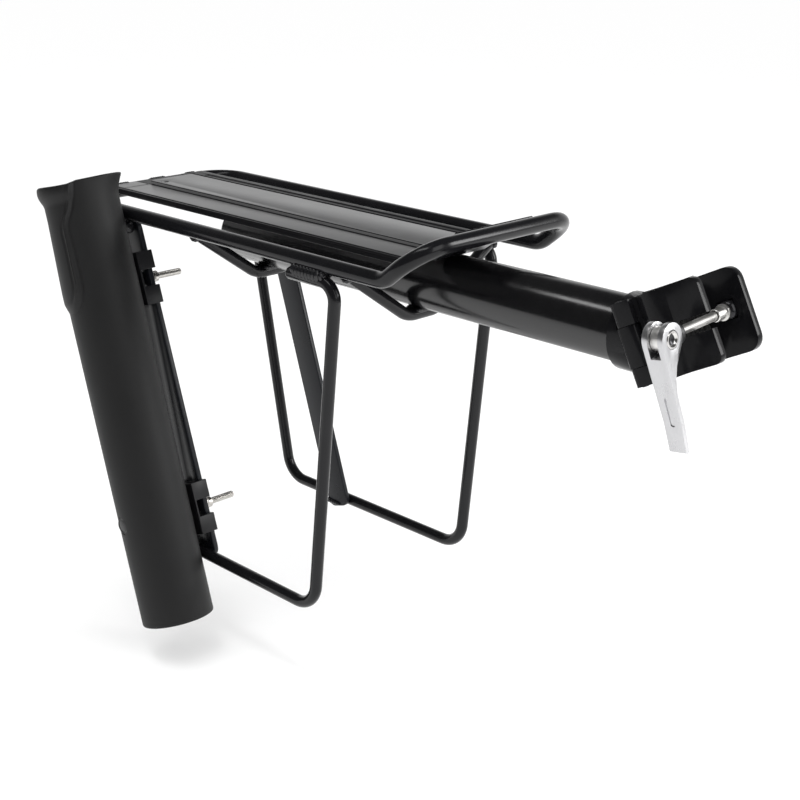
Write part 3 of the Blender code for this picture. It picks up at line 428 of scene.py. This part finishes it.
def bead(name, points, radius, ripples, depth=0.22):
    """A weld bead: a rod of overlapping ripples along a line, tapered at both ends."""
    per_ripple = 6
    points = [Vector(p) for p in points]
    lengths = [0.0]
    for a, b in zip(points, points[1:]):
        lengths.append(lengths[-1] + (b - a).length)
    path = []
    shares = []
    steps = ripples * per_ripple
    for i in range(steps + 1):
        at = lengths[-1] * i / steps
        k = max(j for j in range(len(points) - 1) if lengths[j] <= at + 1e-12)
        t = (at - lengths[k]) / (lengths[k + 1] - lengths[k])
        path.append(points[k].lerp(points[k + 1], min(t, 1.0)))
        phase = (i / per_ripple) % 1.0
        taper = min(1.0, 0.55 + 3.0 * min(i, steps - i) / steps)
        shares.append((1.06 - depth + depth * math.sin(math.pi * phase) ** 0.7) * taper)
    piece = sweep(name, path, radius, 16, shares=shares, round_end=0.5)
    return add(piece, "rack", WELD, "satin_black_paint")


# ---------------------------------------------------------------- the load frame

# In metres. Places are those of the rods' middle lines.
rail_lo, rail_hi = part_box("rail_frame")
RAIL_R = 5 * MM
RAIL_Y = rail_hi.y - RAIL_R
RAIL_Z = rail_lo.z + RAIL_R
RAIL_CORNER = 24 * MM
REAR_X = rail_lo.x + RAIL_R
HOOP_X = rail_hi.x - RAIL_R
HOOP_Z = rail_hi.z - RAIL_R
HOOP_REACH = 28 * MM
HOOP_START = HOOP_X - HOOP_REACH
HOOP_SLOPE = (HOOP_Z - RAIL_Z) / HOOP_REACH
HOOP_BLEND = 16 * MM
ROD_R = 4 * MM
LOOP_LEG = 42 * MM
LOOP_FRONT_SLANT = 25 * MM
LOOP_REAR_SLANT = 42 * MM
HANGER_LEVEL = 13 * MM
HANGER_BEND = 20 * MM


def up_to_hoop(reach, y):
    """A point of the rod that climbs to the hoop, at a reach ahead of where the climb starts."""
    return Vector((HOOP_START + reach, y, RAIL_Z + reach * HOOP_SLOPE))


def build_rail_frame():
    """One closed rod: the rear corners, the left climb, the hoop and the right climb."""
    level = HOOP_START - 60 * MM
    rear = bend([(level, -RAIL_Y, RAIL_Z), (REAR_X, -RAIL_Y, RAIL_Z), (REAR_X, RAIL_Y, RAIL_Z),
                 (level, RAIL_Y, RAIL_Z)], RAIL_CORNER, 16)
    rise = bend([(level, RAIL_Y, RAIL_Z), up_to_hoop(0, RAIL_Y), up_to_hoop(12 * MM, RAIL_Y)],
                HOOP_BLEND, 8)
    hoop = bend([up_to_hoop(6 * MM, RAIL_Y), up_to_hoop(HOOP_REACH, RAIL_Y),
                 up_to_hoop(HOOP_REACH, -RAIL_Y), up_to_hoop(6 * MM, -RAIL_Y)], RAIL_CORNER, 16)
    fall = [Vector((p.x, -p.y, p.z)) for p in reversed(rise[1:-1])]
    path = rear[1:-1] + rise[1:-1] + hoop[1:-1] + fall
    rod = sweep("rail_frame_rod", path, RAIL_R, 40, closed=True)
    add(rod, "rack", PAINT, "satin_black_paint", "rail_frame")


def build_loops():
    """The loops below the rails. Each has two legs, welded along the inside and the outside."""
    for side, sign in SIDES:
        lo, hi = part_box(side + "_side_loop")
        y = sign * (max(abs(lo.y), abs(hi.y)) - ROD_R)
        leg_z = hi.z - ROD_R
        low_z = lo.z + ROD_R
        front = hi.x - ROD_R
        rear = lo.x + ROD_R
        corners = [(front - LOOP_LEG, y, leg_z), (front, y, leg_z),
                   (front - LOOP_FRONT_SLANT, y, low_z), (rear + LOOP_REAR_SLANT, y, low_z),
                   (rear, y, leg_z), (rear + LOOP_LEG, y, leg_z)]
        upper = bend(corners[0:3], 11 * MM, 10)
        lower = bend(corners[1:5], 19 * MM, 12)
        other = bend(corners[3:6], 9 * MM, 10)
        rod = sweep(side + "_loop_rod", upper[:-1] + lower[1:-1] + other[1:], ROD_R, 32)
        add(rod, "rack", PAINT, "satin_black_paint", side + "_side_loop")
        weld_z = leg_z + 3.6 * MM
        for name, x0, x1 in (("front", front - 38 * MM, front - 8 * MM),
                             ("rear", rear + 13 * MM, rear + 40 * MM)):
            for place, outward, radius in (("out", 1.2, 4.6), ("in", -3.6, 2.4)):
                weld_y = y + sign * outward * MM
                bead("_".join((side, name, place, "leg_weld")),
                     [(x0, weld_y, weld_z), (x1, weld_y, weld_z)], radius * MM, 10, 0.42)


def build_hangers():
    """The bent rods under the beam, welded to it and, at both ends, to the rails."""
    ring_x, ring_y, ring_z = 4.4 * MM, 2.6 * MM, 4.0 * MM
    ring_inset = 1.2 * MM
    for name in ("front_hanger", "rear_hanger"):
        lo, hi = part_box(name)
        x = (lo.x + hi.x) / 2
        low = lo.z + ROD_R
        slope = math.atan2(RAIL_Z - low, RAIL_Y - HANGER_LEVEL)
        y = RAIL_Y - (RAIL_R + WELD_GAP) * math.cos(slope)
        z = RAIL_Z - (RAIL_R + WELD_GAP) * math.sin(slope)
        path = bend([(x, -y, z), (x, -HANGER_LEVEL, low), (x, HANGER_LEVEL, low), (x, y, z)],
                    HANGER_BEND, 16)
        rod = sweep(name + "_rod", path, ROD_R, 32)
        add(rod, "rack", PAINT, "satin_black_paint", name)
        for side, sign in SIDES:
            ring = []
            for k in range(25):
                a = 2 * math.pi * k / 24
                ring.append((x + ring_x * math.cos(a),
                             sign * (y - ring_inset + ring_y * math.sin(a) * math.sin(slope)),
                             z - ring_inset - ring_z * math.sin(a) * math.cos(slope)))
            bead(name + "_" + side + "_weld", ring, 1.7 * MM, 12)
        for place, sign in (("front", 1), ("rear", -1)):
            beside = x + sign * 4.2 * MM
            line = [(beside, -9 * MM, low + 3.6 * MM), (beside, 0, low + 3.0 * MM),
                    (beside, 9 * MM, low + 3.6 * MM)]
            bead(name + "_beam_weld_" + place, line, 1.8 * MM, 8)


# The deck's outlines are in mm, in y and in height above its underside. Places in x, and the
# hole's in y, are in metres.
deck_lo, deck_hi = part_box("deck_plate")
DECK_TOP = (deck_hi.z - deck_lo.z) / MM
DECK_SIDE = DECK_TOP - 2.6
DECK_UNDER = DECK_SIDE - 1.2
DECK_HALF = deck_hi.y / MM
DECK_RIGHT = -14.0
DECK_LEFT = 22.5
COVER_RIGHT = -37.4
LEFT_BAND_FROM = 23.6
EDGE_STRIP_LOW = DECK_SIDE - 1.1
STEP_X = deck_lo.x + 15.7 * MM
HOLE_X = deck_lo.x + 27.2 * MM
HOLE_Y = -10 * MM


def build_deck():
    """The deck's extrusion, with its raised middle cut short at the rear and a hole there."""
    half, right, left = DECK_HALF, DECK_RIGHT, DECK_LEFT
    top, side, under = DECK_TOP, DECK_SIDE, DECK_UNDER
    section = [(-half + 0.2, 0.1), (-half + 0.2, under), (COVER_RIGHT, under), (COVER_RIGHT, side),
               (right - 2.6, side), (right - 2.0, side - 0.9), (right - 0.9, side - 0.9),
               (right - 0.4, side), (right, top - 0.3), (right + 0.4, top),
               (left - 0.4, top), (left, top - 0.3), (left + 0.6, under),
               (half - 0.2, under), (half - 0.2, 0.1)]
    deck = extrude("deck_extrusion", section, deck_lo.x, deck_hi.x, deck_lo.z)
    clear = 60 * MM
    step = block("deck_mid_end", (deck_lo.x - 5 * MM, -clear, deck_lo.z + side * MM),
                 (STEP_X, clear, clear))
    hole = turned("deck_hole", [(0, -20), (3, -20), (3, 50), (0, 50)],
                  Matrix.Translation((HOLE_X, HOLE_Y, deck_lo.z)), 32)
    for cutter in (step, hole):
        subtract(deck, cutter)
    soften(deck, 0.2, 2, 60)
    add(deck, "rack", DECK, "anodised_deck", "deck_plate")


def dark_deck_strip(name, outline, start, end, edge, segments):
    """A dark strip on the deck, from one x to another, with its edges rounded."""
    dark_strip = extrude(name, outline, start, end, deck_lo.z)
    soften(dark_strip, edge, segments, 40)
    add(dark_strip, "rack", TRIM_AND_SHADE, "satin_black_paint")


def build_riser_shade_and_rear_band():
    """The painted shade up the right side of the raised middle, and the band across the rear end.
    """
    half, right, top, side = DECK_HALF, DECK_RIGHT, DECK_TOP, DECK_SIDE
    # A dark sheet over the riser's face: painted shade where the step lies in shade.
    riser = [(right - 2.6, side - 0.5), (right - 2.6, side + 0.05), (right - 0.5, side + 0.05),
             (right - 0.1, side + 0.4), (right - 0.1, top - 0.4), (right + 0.3, top - 0.1),
             (right + 0.3, side - 0.5)]
    dark_deck_strip("deck_riser_painted_shade", riser, STEP_X, deck_hi.x - 0.3 * MM, 0.1, 1)
    band = [(right - 2.6, side - 0.5), (right - 2.6, side + 0.15), (half - 0.6, side + 0.15),
            (half - 0.6, side - 0.5)]
    dark_deck_strip("deck_rear_trim", band, deck_lo.x + 0.2 * MM, STEP_X + 0.3 * MM, 0.1, 1)


def build_deck_welds():
    """Three welds of unlike length along the deck's rear edge."""
    x = deck_lo.x - 1.0 * MM
    z = deck_lo.z + DECK_UNDER * MM
    for k, (y, reach) in enumerate(((-27, 5), (3, 8), (33, 5))):
        line = [(x, (y - reach) * MM, z), (x, (y + reach) * MM, z)]
        bead("deck_rear_weld_" + str(k), line, 1.8 * MM, reach)


def build_edge_strips():
    """The dark ribbed strips along the deck's right and left edges."""
    half, side, low = DECK_HALF, DECK_SIDE, EDGE_STRIP_LOW
    near, far = COVER_RIGHT, LEFT_BAND_FROM
    inner = [(near - 0.1, low), (near - 0.1, side + 0.1), (near - 0.5, side + 0.4),
             (near - 1.5, side + 0.4), (near - 1.9, side - 0.2), (near - 2.6, side - 0.2),
             (near - 3.0, side + 0.3), (near - 4.2, side + 0.3), (near - 4.6, side - 0.3),
             (-half - 0.2, side - 0.5), (-half - 0.2, 3.9), (-half + 0.1, 3.6), (-half + 0.1, 2.2),
             (-half - 0.2, 1.9), (-half - 0.2, 0.4), (-half + 0.1, 0.2), (-half + 0.1, low)]
    # The left band is dark from just beside the raised middle out to the deck's edge.
    outer = [(far, low), (far, side), (far + 0.4, side + 0.3), (29.5, side + 0.3),
             (30.0, side - 0.3), (30.8, side - 0.3), (31.3, side + 0.5), (32.7, side + 0.5),
             (33.2, side - 0.3), (38.0, side - 0.3), (38.5, side + 0.3), (half - 0.4, side + 0.3),
             (half + 0.2, side - 0.2), (half + 0.2, 0.4), (half - 0.1, 0.2), (half - 0.1, low)]
    for name, outline in (("deck_right_trim", inner), ("deck_left_dark_band", outer)):
        dark_deck_strip(name, outline, deck_lo.x + 0.3 * MM, deck_hi.x - 0.3 * MM, 0.15, 2)


# ---------------------------------------------------------------- rod holder

def hill(x):
    """A smooth rise to one at nought, and nothing beyond one to either side."""
    return 0.0 if abs(x) >= 1 else (1 - x * x) ** 2


def ramp(x):
    """A smooth climb from nothing at nought to one at one."""
    x = min(max(x, 0.0), 1.0)
    return x * x * (3 - 2 * x)


def turn_between(a, b):
    """The angle from b to a, the shorter way round."""
    return (a - b + math.pi) % (2 * math.pi) - math.pi


# Angles run round the holder from straight ahead towards the left. Lengths are in mm. The slope
# is how far back the tube leans for its height. The pad's outline pairs a depth below the mouth
# with half the pad's width there, in degrees.
HOLDER_R = 25.0
HOLDER_WALL = 2.5
HOLDER_LENGTH = 307.5
HOLDER_TOP = 25.0
HOLDER_SLOPE = 0.305
HOLDER_BACK = 105.9
HOLDER_BESIDE_BOLT = 19.1
PLUG_HOLE_R = 6.1
PAD_ANGLE = math.radians(-127)
PAD_OUTLINE = ((0.0, 84.0), (9.0, 79.0), (17.0, 73.0), (22.0, 66.5), (26.0, 61.2), (31.0, 59.5),
               (43.0, 60.5), (400.0, 60.5))
PAD_CORNER = 13.0
PAD_END = 83.4
PAD_OUT = 2.0
PAD_GROWS_FROM = 23
PAD_GROWS_TO = 72
RIDGE_OUT = 1.15
RIDGE_HALF = 1.9
GROOVE_IN = 0.45
GROOVE_HALF = 1.5
ROLL_OUT = 2.7
ROLL_DEPTH = 4.6
ROLL_FADE = 9
LIP_ANGLE = math.radians(60)
LIP_OUT = 5.0
LIP_DEPTH = 13.0
RIM_DEPTH = 12


def pad_half(depth):
    """Half the pad's width as an angle, at a depth in mm below the mouth."""
    for (d0, w0), (d1, w1) in zip(PAD_OUTLINE, PAD_OUTLINE[1:]):
        if depth <= d1:
            return math.radians(w0 + (w1 - w0) * max(depth - d0, 0.0) / (d1 - d0))
    return math.radians(PAD_OUTLINE[-1][1])


def pad_edge(angle, depth):
    """How far inside the pad's outline a point of the holder's wall is, in mm."""
    turn = abs(turn_between(angle, PAD_ANGLE)) * HOLDER_R
    blur = 1.5
    half = (pad_half(depth - blur) + pad_half(depth) + pad_half(depth + blur)) / 3 * HOLDER_R
    low = (PAD_END - depth) * 0.72
    if low < PAD_CORNER:
        over = max(0.0, turn - half + PAD_CORNER)
        return PAD_CORNER - math.hypot(over, PAD_CORNER - low)
    return half - turn


def pad_foot(angle, depth):
    """One along the pad's lower end, and nothing beside and above it."""
    turn = abs(turn_between(angle, PAD_ANGLE)) * HOLDER_R
    across = ramp((pad_half(depth) * HOLDER_R - turn) / PAD_CORNER)
    return across * ramp((depth - PAD_END + 12) / 6)


def holder_offset(angle, depth):
    """How far the holder's wall stands out, in mm, at a depth in mm below its mouth."""
    inside = pad_edge(angle, depth)
    grown = (depth - PAD_GROWS_FROM) / (PAD_GROWS_TO - PAD_GROWS_FROM)
    grown = 0.2 + 0.8 * min(max(grown, 0.0), 1.0)
    foot = pad_foot(angle, depth)
    pad = PAD_OUT * grown * ramp((inside + 0.5 + 1.2 * foot) / (1.4 + 4.0 * foot))
    ridge = RIDGE_OUT * hill(inside / RIDGE_HALF) * (1 - 0.8 * foot)
    grooves = hill((inside - 2.9) / GROOVE_HALF) + hill((inside + 2.7) / GROOVE_HALF)
    groove = GROOVE_IN * grooves * (1 - foot)
    if depth < ROLL_DEPTH:
        roll = math.sqrt(1 - (1 - depth / ROLL_DEPTH) ** 2.6 * 0.6)
    else:
        roll = hill((depth - ROLL_DEPTH) / ROLL_FADE)
    roll *= ROLL_OUT * ramp((inside + 5) / 9)
    lip = LIP_OUT * hill(turn_between(angle, LIP_ANGLE) / math.radians(75))
    lip *= max(0.0, 1 - depth / LIP_DEPTH) ** 1.5
    return pad + ridge - groove + roll + lip


def rim_drop(angle, depth):
    """How far the mouth's rim lies below its usual level, in mm. It fades further down."""
    low = 1.3 * ramp((pad_edge(angle, 1.0) + 5) / 7)
    high = 0.9 * hill(turn_between(angle, LIP_ANGLE) / math.radians(95))
    high += 1.9 * hill(turn_between(angle, PAD_ANGLE) / math.radians(75))
    return (low - high) * max(0.0, 1 - depth / RIM_DEPTH)


def holder_rings():
    """Depth and inset, in mm, of each ring of the holder: down its outside, then up its bore."""
    depths = [0, 0.25, 0.7, 1.3] + [2 + 0.75 * i for i in range(117)] + [95, 130, 200, 290]
    depths += [HOLDER_LENGTH - d for d in (1.6, 0.8, 0.25, 0)]
    rings = [(depth, 0.0) for depth in depths]
    for i, depth in enumerate(depths[::-1]):
        if depth > 90 or i % 4 == 0 or depth < 2:
            rings.append((depth, HOLDER_WALL))
    return rings


def holder_angles():
    """Directions round the holder, closer together where the ridge runs."""
    ridges = math.radians(-70)
    angles = []
    a = -math.pi
    while a < math.pi - 0.004:
        angles.append(a)
        near = abs(turn_between(a, ridges))
        a += math.radians(0.8 if near < math.radians(36) else 2.0)
    return angles


def build_holder():
    """A moulded tube with a raised pad, a rolled rim and a flared lip, and its access plug."""
    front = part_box("rod_holder")[1].x
    axis_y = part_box("upper_clip_bolt")[0].y - HOLDER_BESIDE_BOLT * MM
    z = Vector((-HOLDER_SLOPE, 0, 1)).normalized()
    y = Vector((0, 1, 0))
    place = Matrix.Translation((front - HOLDER_BACK * MM, axis_y, RAIL_Z))
    place = place @ Matrix((y.cross(z), y, z)).transposed().to_4x4()
    angles = holder_angles()
    edge_depth, edge_round = 1.3, 0.9
    body = bmesh.new()
    rings = []
    for depth, inset in holder_rings():
        near = min(min(depth, HOLDER_LENGTH - depth) / edge_depth, 1)
        soft = edge_round * (1 - math.sqrt(1 - (1 - near) ** 2))
        ring = []
        for a in angles:
            r = HOLDER_R + holder_offset(a, depth) - inset
            r += -soft if inset == 0 else soft
            height = HOLDER_TOP - depth - rim_drop(a, depth)
            point = Vector((r * math.cos(a), r * math.sin(a), height)) * MM
            ring.append(body.verts.new(place @ point))
        rings.append(ring)
    skin(body, rings, closed=True)
    tube = from_bmesh("rod_holder_tube", body)
    low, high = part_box("access_plug")
    across = Matrix.Translation((low + high) / 2) @ Matrix.Rotation(math.pi / 2, 4, "X")
    bore = [(0, -8), (PLUG_HOLE_R, -8), (PLUG_HOLE_R, 8), (0, 8)]
    subtract(tube, turned("holder_hole", bore, across))
    smooth(tube, 40)
    add(tube, "rack", HOLDER, "grey_black_plastic", "rod_holder")
    disc = [(0, 0.7), (3.9, 0.7), (4.3, 0.45), (4.7, 0.7), (5.5, 0.75), (5.8, 0.45), (5.8, -1),
            (0, -1)]
    plug = turned("access_plug_disc", disc, across)
    add(plug, "rack", PLUG, "black_plastic", "access_plug")


# ---------------------------------------------------------------- bolts

def thread(name, radius, pitch, start, end, place):
    """A threaded shaft along its own z, with a chamfered tip at its end. Figures are in mm."""
    sides = 24
    rows = int((end - start) / pitch * 6)
    deepest = 0.22
    tip, tip_cut = 0.8, 0.5
    body = bmesh.new()
    rings = []
    for i in range(rows + 1):
        height = start + (end - start) * i / rows
        ring = []
        for k in range(sides):
            phase = (height / pitch - k / sides) % 1.0
            cut = deepest * min((1 - abs(2 * phase - 1)) * 1.6, 1)
            near = max(0.0, 1 - (end - height) / tip)
            r = radius - cut - tip_cut * near
            a = 2 * math.pi * k / sides
            point = Vector((r * math.cos(a), r * math.sin(a), height)) * MM
            ring.append(body.verts.new(place @ point))
        rings.append(ring)
    skin(body, rings)
    return smooth(from_bmesh(name, body), 60)


def build_clips():
    """The two clips on the strut, each with its bolt, nut and collar, washer and spacer."""
    leftward = Matrix.Rotation(-math.pi / 2, 4, "X")
    head = [(0, 0.4), (1.5, 0.35), (1.7, 0), (3.5, 0.1), (4.0, 0.6), (4.1, 1.7), (0, 1.8)]
    collar = [(1.8, -0.3), (3.6, -0.3), (4.0, 0.2), (4.0, 2.6), (3.5, 3.2), (2.6, 3.4), (1.8, 3.4)]
    for level in ("upper", "lower"):
        refine(level + "_clip", "rack", CLIP, "clip_plastic", 1.1, 4)
        lo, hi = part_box(level + "_clip_bolt")
        x, z = (lo.x + hi.x) / 2, (lo.z + hi.z) / 2
        along = Matrix.Translation((x, lo.y, z)) @ leftward
        shaft = thread(level + "_bolt_thread", 2.4, 0.8, 1.2, (hi.y - lo.y) / MM, along)
        add(shaft, "rack", NICKEL, "nickel_steel", level + "_clip_bolt")
        add(turned(level + "_bolt_head", head, along), "rack", NICKEL, "nickel_steel")
        refine(level + "_clip_nut", "rack", NICKEL, "nickel_steel", 0.35, 2)
        beyond = Matrix.Translation((x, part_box(level + "_clip_nut")[1].y, z)) @ leftward
        add(turned(level + "_nut_collar", collar, beyond), "rack", NICKEL, "nickel_steel")
        refine(level + "_clip_washer", "rack", NICKEL, "nickel_steel", 0.2, 2)
        refine(level + "_clip_spacer", "rack", NICKEL, "nickel_steel", 0.4, 2)


# ---------------------------------------------------------------- struts, beam and clamp

def build_struts():
    """The flat bars, each with a weld at its foot and one at its head."""
    for side, sign in SIDES:
        refine(side + "_strut", "rack", STRUT, "satin_black_paint", 0.6)
        lo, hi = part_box(side + "_strut")
        y = hi.y if sign < 0 else lo.y
        foot_x, foot_z = hi.x - 16 * MM, lo.z + 3.4 * MM
        head_x, head_z = lo.x + 11.5 * MM, hi.z - 0.6 * MM
        foot = [(foot_x - 9 * MM, y, foot_z), (foot_x + 9 * MM, y, foot_z)]
        head = [(head_x - 9 * MM, y, head_z), (head_x + 8 * MM, y, head_z)]
        bead(side + "_strut_foot_weld", foot, 1.7 * MM, 8)
        bead(side + "_strut_head_weld", head, 1.8 * MM, 8)


def joint(name):
    """A joint's place, and its axis as local z."""
    found = next(j for j in frame["joints"] if j["name"] == name)
    axis = Vector(found["axis"]).normalized()
    turn = Vector((0, 0, 1)).rotation_difference(axis).to_matrix().to_4x4()
    return Matrix.Translation(Vector(found["pos_m"])) @ turn


def build_clamp():
    """The beam and the clamp at its front end."""
    refine("main_beam", "rack", GLOSS, "gloss_black_paint", 0.4, 2, 50)
    refine("beam_end_plug", "rack", PLUG, "black_plastic", 0.4, 2)
    refine("hoop_plate", "rack", PAINT, "satin_black_paint", 0.4, 2)
    refine("clamp_body", "rack", CAST, "black_casting", 0.8)
    refine("left_liner", "rack", RUBBER, "liner_rubber", 0.15, 1)
    refine("hinge_pin", "rack", BLACKENED_AND_SHADE, "black_steel", 0.4, 2)
    refine("near_jaw", "near_jaw", CAST, "black_casting", 0.8)
    refine("right_liner", "near_jaw", RUBBER, "liner_rubber", 0.15, 1)


def build_skewer():
    """The pivot nut, skewer, sleeve, cup and lever, and the cam pin with painted shade in its
    dished ends.
    """
    refine("pivot_nut", "pivot_nut", BLACKENED_AND_SHADE, "black_steel", 1.6, 5, 20)
    refine("skewer", "skewer", SATIN, "nickel_steel", 0.4)
    refine("skewer_sleeve", "skewer", SATIN, "nickel_steel", 0.25, 2)
    refine("cupped_washer", "skewer", PLUG, "black_plastic", 0.6)
    refine("quick_release_lever", "lever", POLISHED, "polished_aluminium", 0.5)
    half = 6.6
    end = [(0, half - 1.9), (1.6, half - 1.7), (2.9, half - 1.1), (3.5, half - 0.3),
           (3.8, half), (4.4, half), (4.8, half - 0.4)]
    outline = end + [(r, -h) for r, h in reversed(end)]
    pin = turned("cam_pin_dished", outline, joint("lever_hinge"), 64)
    add(pin, "skewer", CHROME, "nickel_steel", "cam_pin")
    # A thin dark disc lying in each dish: painted shade in the recess.
    dish = [(0, half - 1.75), (1.6, half - 1.55), (2.7, half - 1.05), (2.7, half - 1.4),
            (0, half - 2.1)]
    for name, turn in (("near", 0.0), ("far", math.pi)):
        across = joint("lever_hinge") @ Matrix.Rotation(turn, 4, "X")
        dish_shade = turned("cam_pin_hollow_" + name, dish, across)
        add(dish_shade, "skewer", BLACKENED_AND_SHADE, "black_steel")


# ---------------------------------------------------------------- floor, light and camera

def soft_light(name, place, target, width, length, energy):
    """A rectangular lamp that faces a target."""
    lamp = bpy.data.lights.new(name, "AREA")
    lamp.shape = "RECTANGLE"
    lamp.size = width
    lamp.size_y = length
    lamp.energy = energy
    obj = bpy.data.objects.new(name, lamp)
    obj.location = place
    obj.rotation_mode = "QUATERNION"
    obj.rotation_quaternion = (Vector(target) - Vector(place)).to_track_quat("-Z", "Y")
    scene.collection.objects.link(obj)


BACKDROP = (-0.25, 0.95, 0.1)
FLOOR_BELOW = 20 * MM
FLOOR_HALF = 6.0
CAMERA_PLACE = (0.42189, -0.62418, 0.21933)
CAMERA_TURN = math.radians(45.6)
CAMERA_DOWN = math.radians(19.46)
CAMERA_ROLL = math.radians(0.1)
CAMERA_LENS = 65.48


def build_world():
    """A white surround. In reflections it is bright only low down behind the rack."""
    world = bpy.data.worlds.new("studio")
    world.use_nodes = True
    tree = world.node_tree
    sky = tree.nodes["Background"]
    sky.inputs["Color"].default_value = (1, 1, 1, 1)
    around = node(tree, "ShaderNodeTexCoord").outputs["Generated"]
    facing = node(tree, "ShaderNodeVectorMath", operation="DOT_PRODUCT")
    facing.inputs[1].default_value = BACKDROP
    tree.links.new(around, facing.inputs[0])
    split = node(tree, "ShaderNodeSeparateXYZ")
    tree.links.new(around, split.inputs[0])
    behind = mapped(tree, facing.outputs["Value"], 0.0, 1.0, -0.1, 0.5)
    low = mapped(tree, split.outputs["Z"], 1.0, 0.0, 0.34, 0.62)
    both = node(tree, "ShaderNodeMath", operation="MULTIPLY")
    tree.links.new(behind, both.inputs[0])
    tree.links.new(low, both.inputs[1])
    level = mapped(tree, both.outputs[0], 0.07, 1.0, 0.0, 1.0)
    mix = node(tree, "ShaderNodeMix", data_type="FLOAT")
    mix.inputs["A"].default_value = 1.0
    tree.links.new(node(tree, "ShaderNodeLightPath").outputs["Is Glossy Ray"], mix.inputs["Factor"])
    tree.links.new(level, mix.inputs["B"])
    tree.links.new(mix.outputs["Result"], sky.inputs["Strength"])
    scene.world = world


def build_stage():
    """A pale floor below the rack and three soft lights."""
    body = bmesh.new()
    bmesh.ops.create_grid(body, x_segments=1, y_segments=1, size=FLOOR_HALF)
    floor = from_bmesh("floor", body)
    floor.location = (0, 0, cad_box[0].z - FLOOR_BELOW)
    surface = bpy.data.materials.new("pale_floor")
    surface.use_nodes = True
    shader = surface.node_tree.nodes["Principled BSDF"]
    shader.inputs["Base Color"].default_value = (0.99, 0.99, 0.99, 1)
    shader.inputs["Roughness"].default_value = 0.9
    shader.inputs["Specular IOR Level"].default_value = 0.0
    floor.data.materials.append(surface)
    scene.collection.objects.link(floor)
    scene.view_settings.view_transform = "Standard"
    clamp = Vector((0, 0, 0))
    deck = Vector((-0.25, 0, 0))
    holder = Vector((-0.42, -0.1, -0.08))
    soft_light("side_box", clamp + Vector((0.8645, 0.858, 0.455)), clamp, 0.4, 0.7, energy=8)
    soft_light("front_box", holder + Vector((1.25, 0.0, 0.62)), holder, 0.5, 0.9, energy=3)
    soft_light("top_box", deck + Vector((-0.05, -0.5, 1.4)), deck, 1.1, 0.25, energy=4)


def build_camera():
    """The camera stands ahead of the rack on its right, a little above it."""
    data = bpy.data.cameras.new("camera")
    data.sensor_width = 36.0
    data.lens = CAMERA_LENS
    data.clip_start = 0.01
    obj = bpy.data.objects.new("camera", data)
    scene.collection.objects.link(obj)
    ahead = Vector((-math.sin(CAMERA_TURN) * math.cos(CAMERA_DOWN),
                    math.cos(CAMERA_TURN) * math.cos(CAMERA_DOWN), -math.sin(CAMERA_DOWN)))
    right = Vector((math.cos(CAMERA_TURN), math.sin(CAMERA_TURN), 0))
    axes = Matrix((right, right.cross(ahead), -ahead)).transposed().to_4x4()
    roll = Matrix.Rotation(CAMERA_ROLL, 4, "Z")
    obj.matrix_world = Matrix.Translation(CAMERA_PLACE) @ axes @ roll
    scene.camera = obj


build_camera()
build_rail_frame()
build_loops()
build_hangers()
build_deck()
build_riser_shade_and_rear_band()
build_deck_welds()
build_edge_strips()
build_struts()
build_holder()
build_clips()
build_clamp()
build_skewer()
build_world()
build_stage()
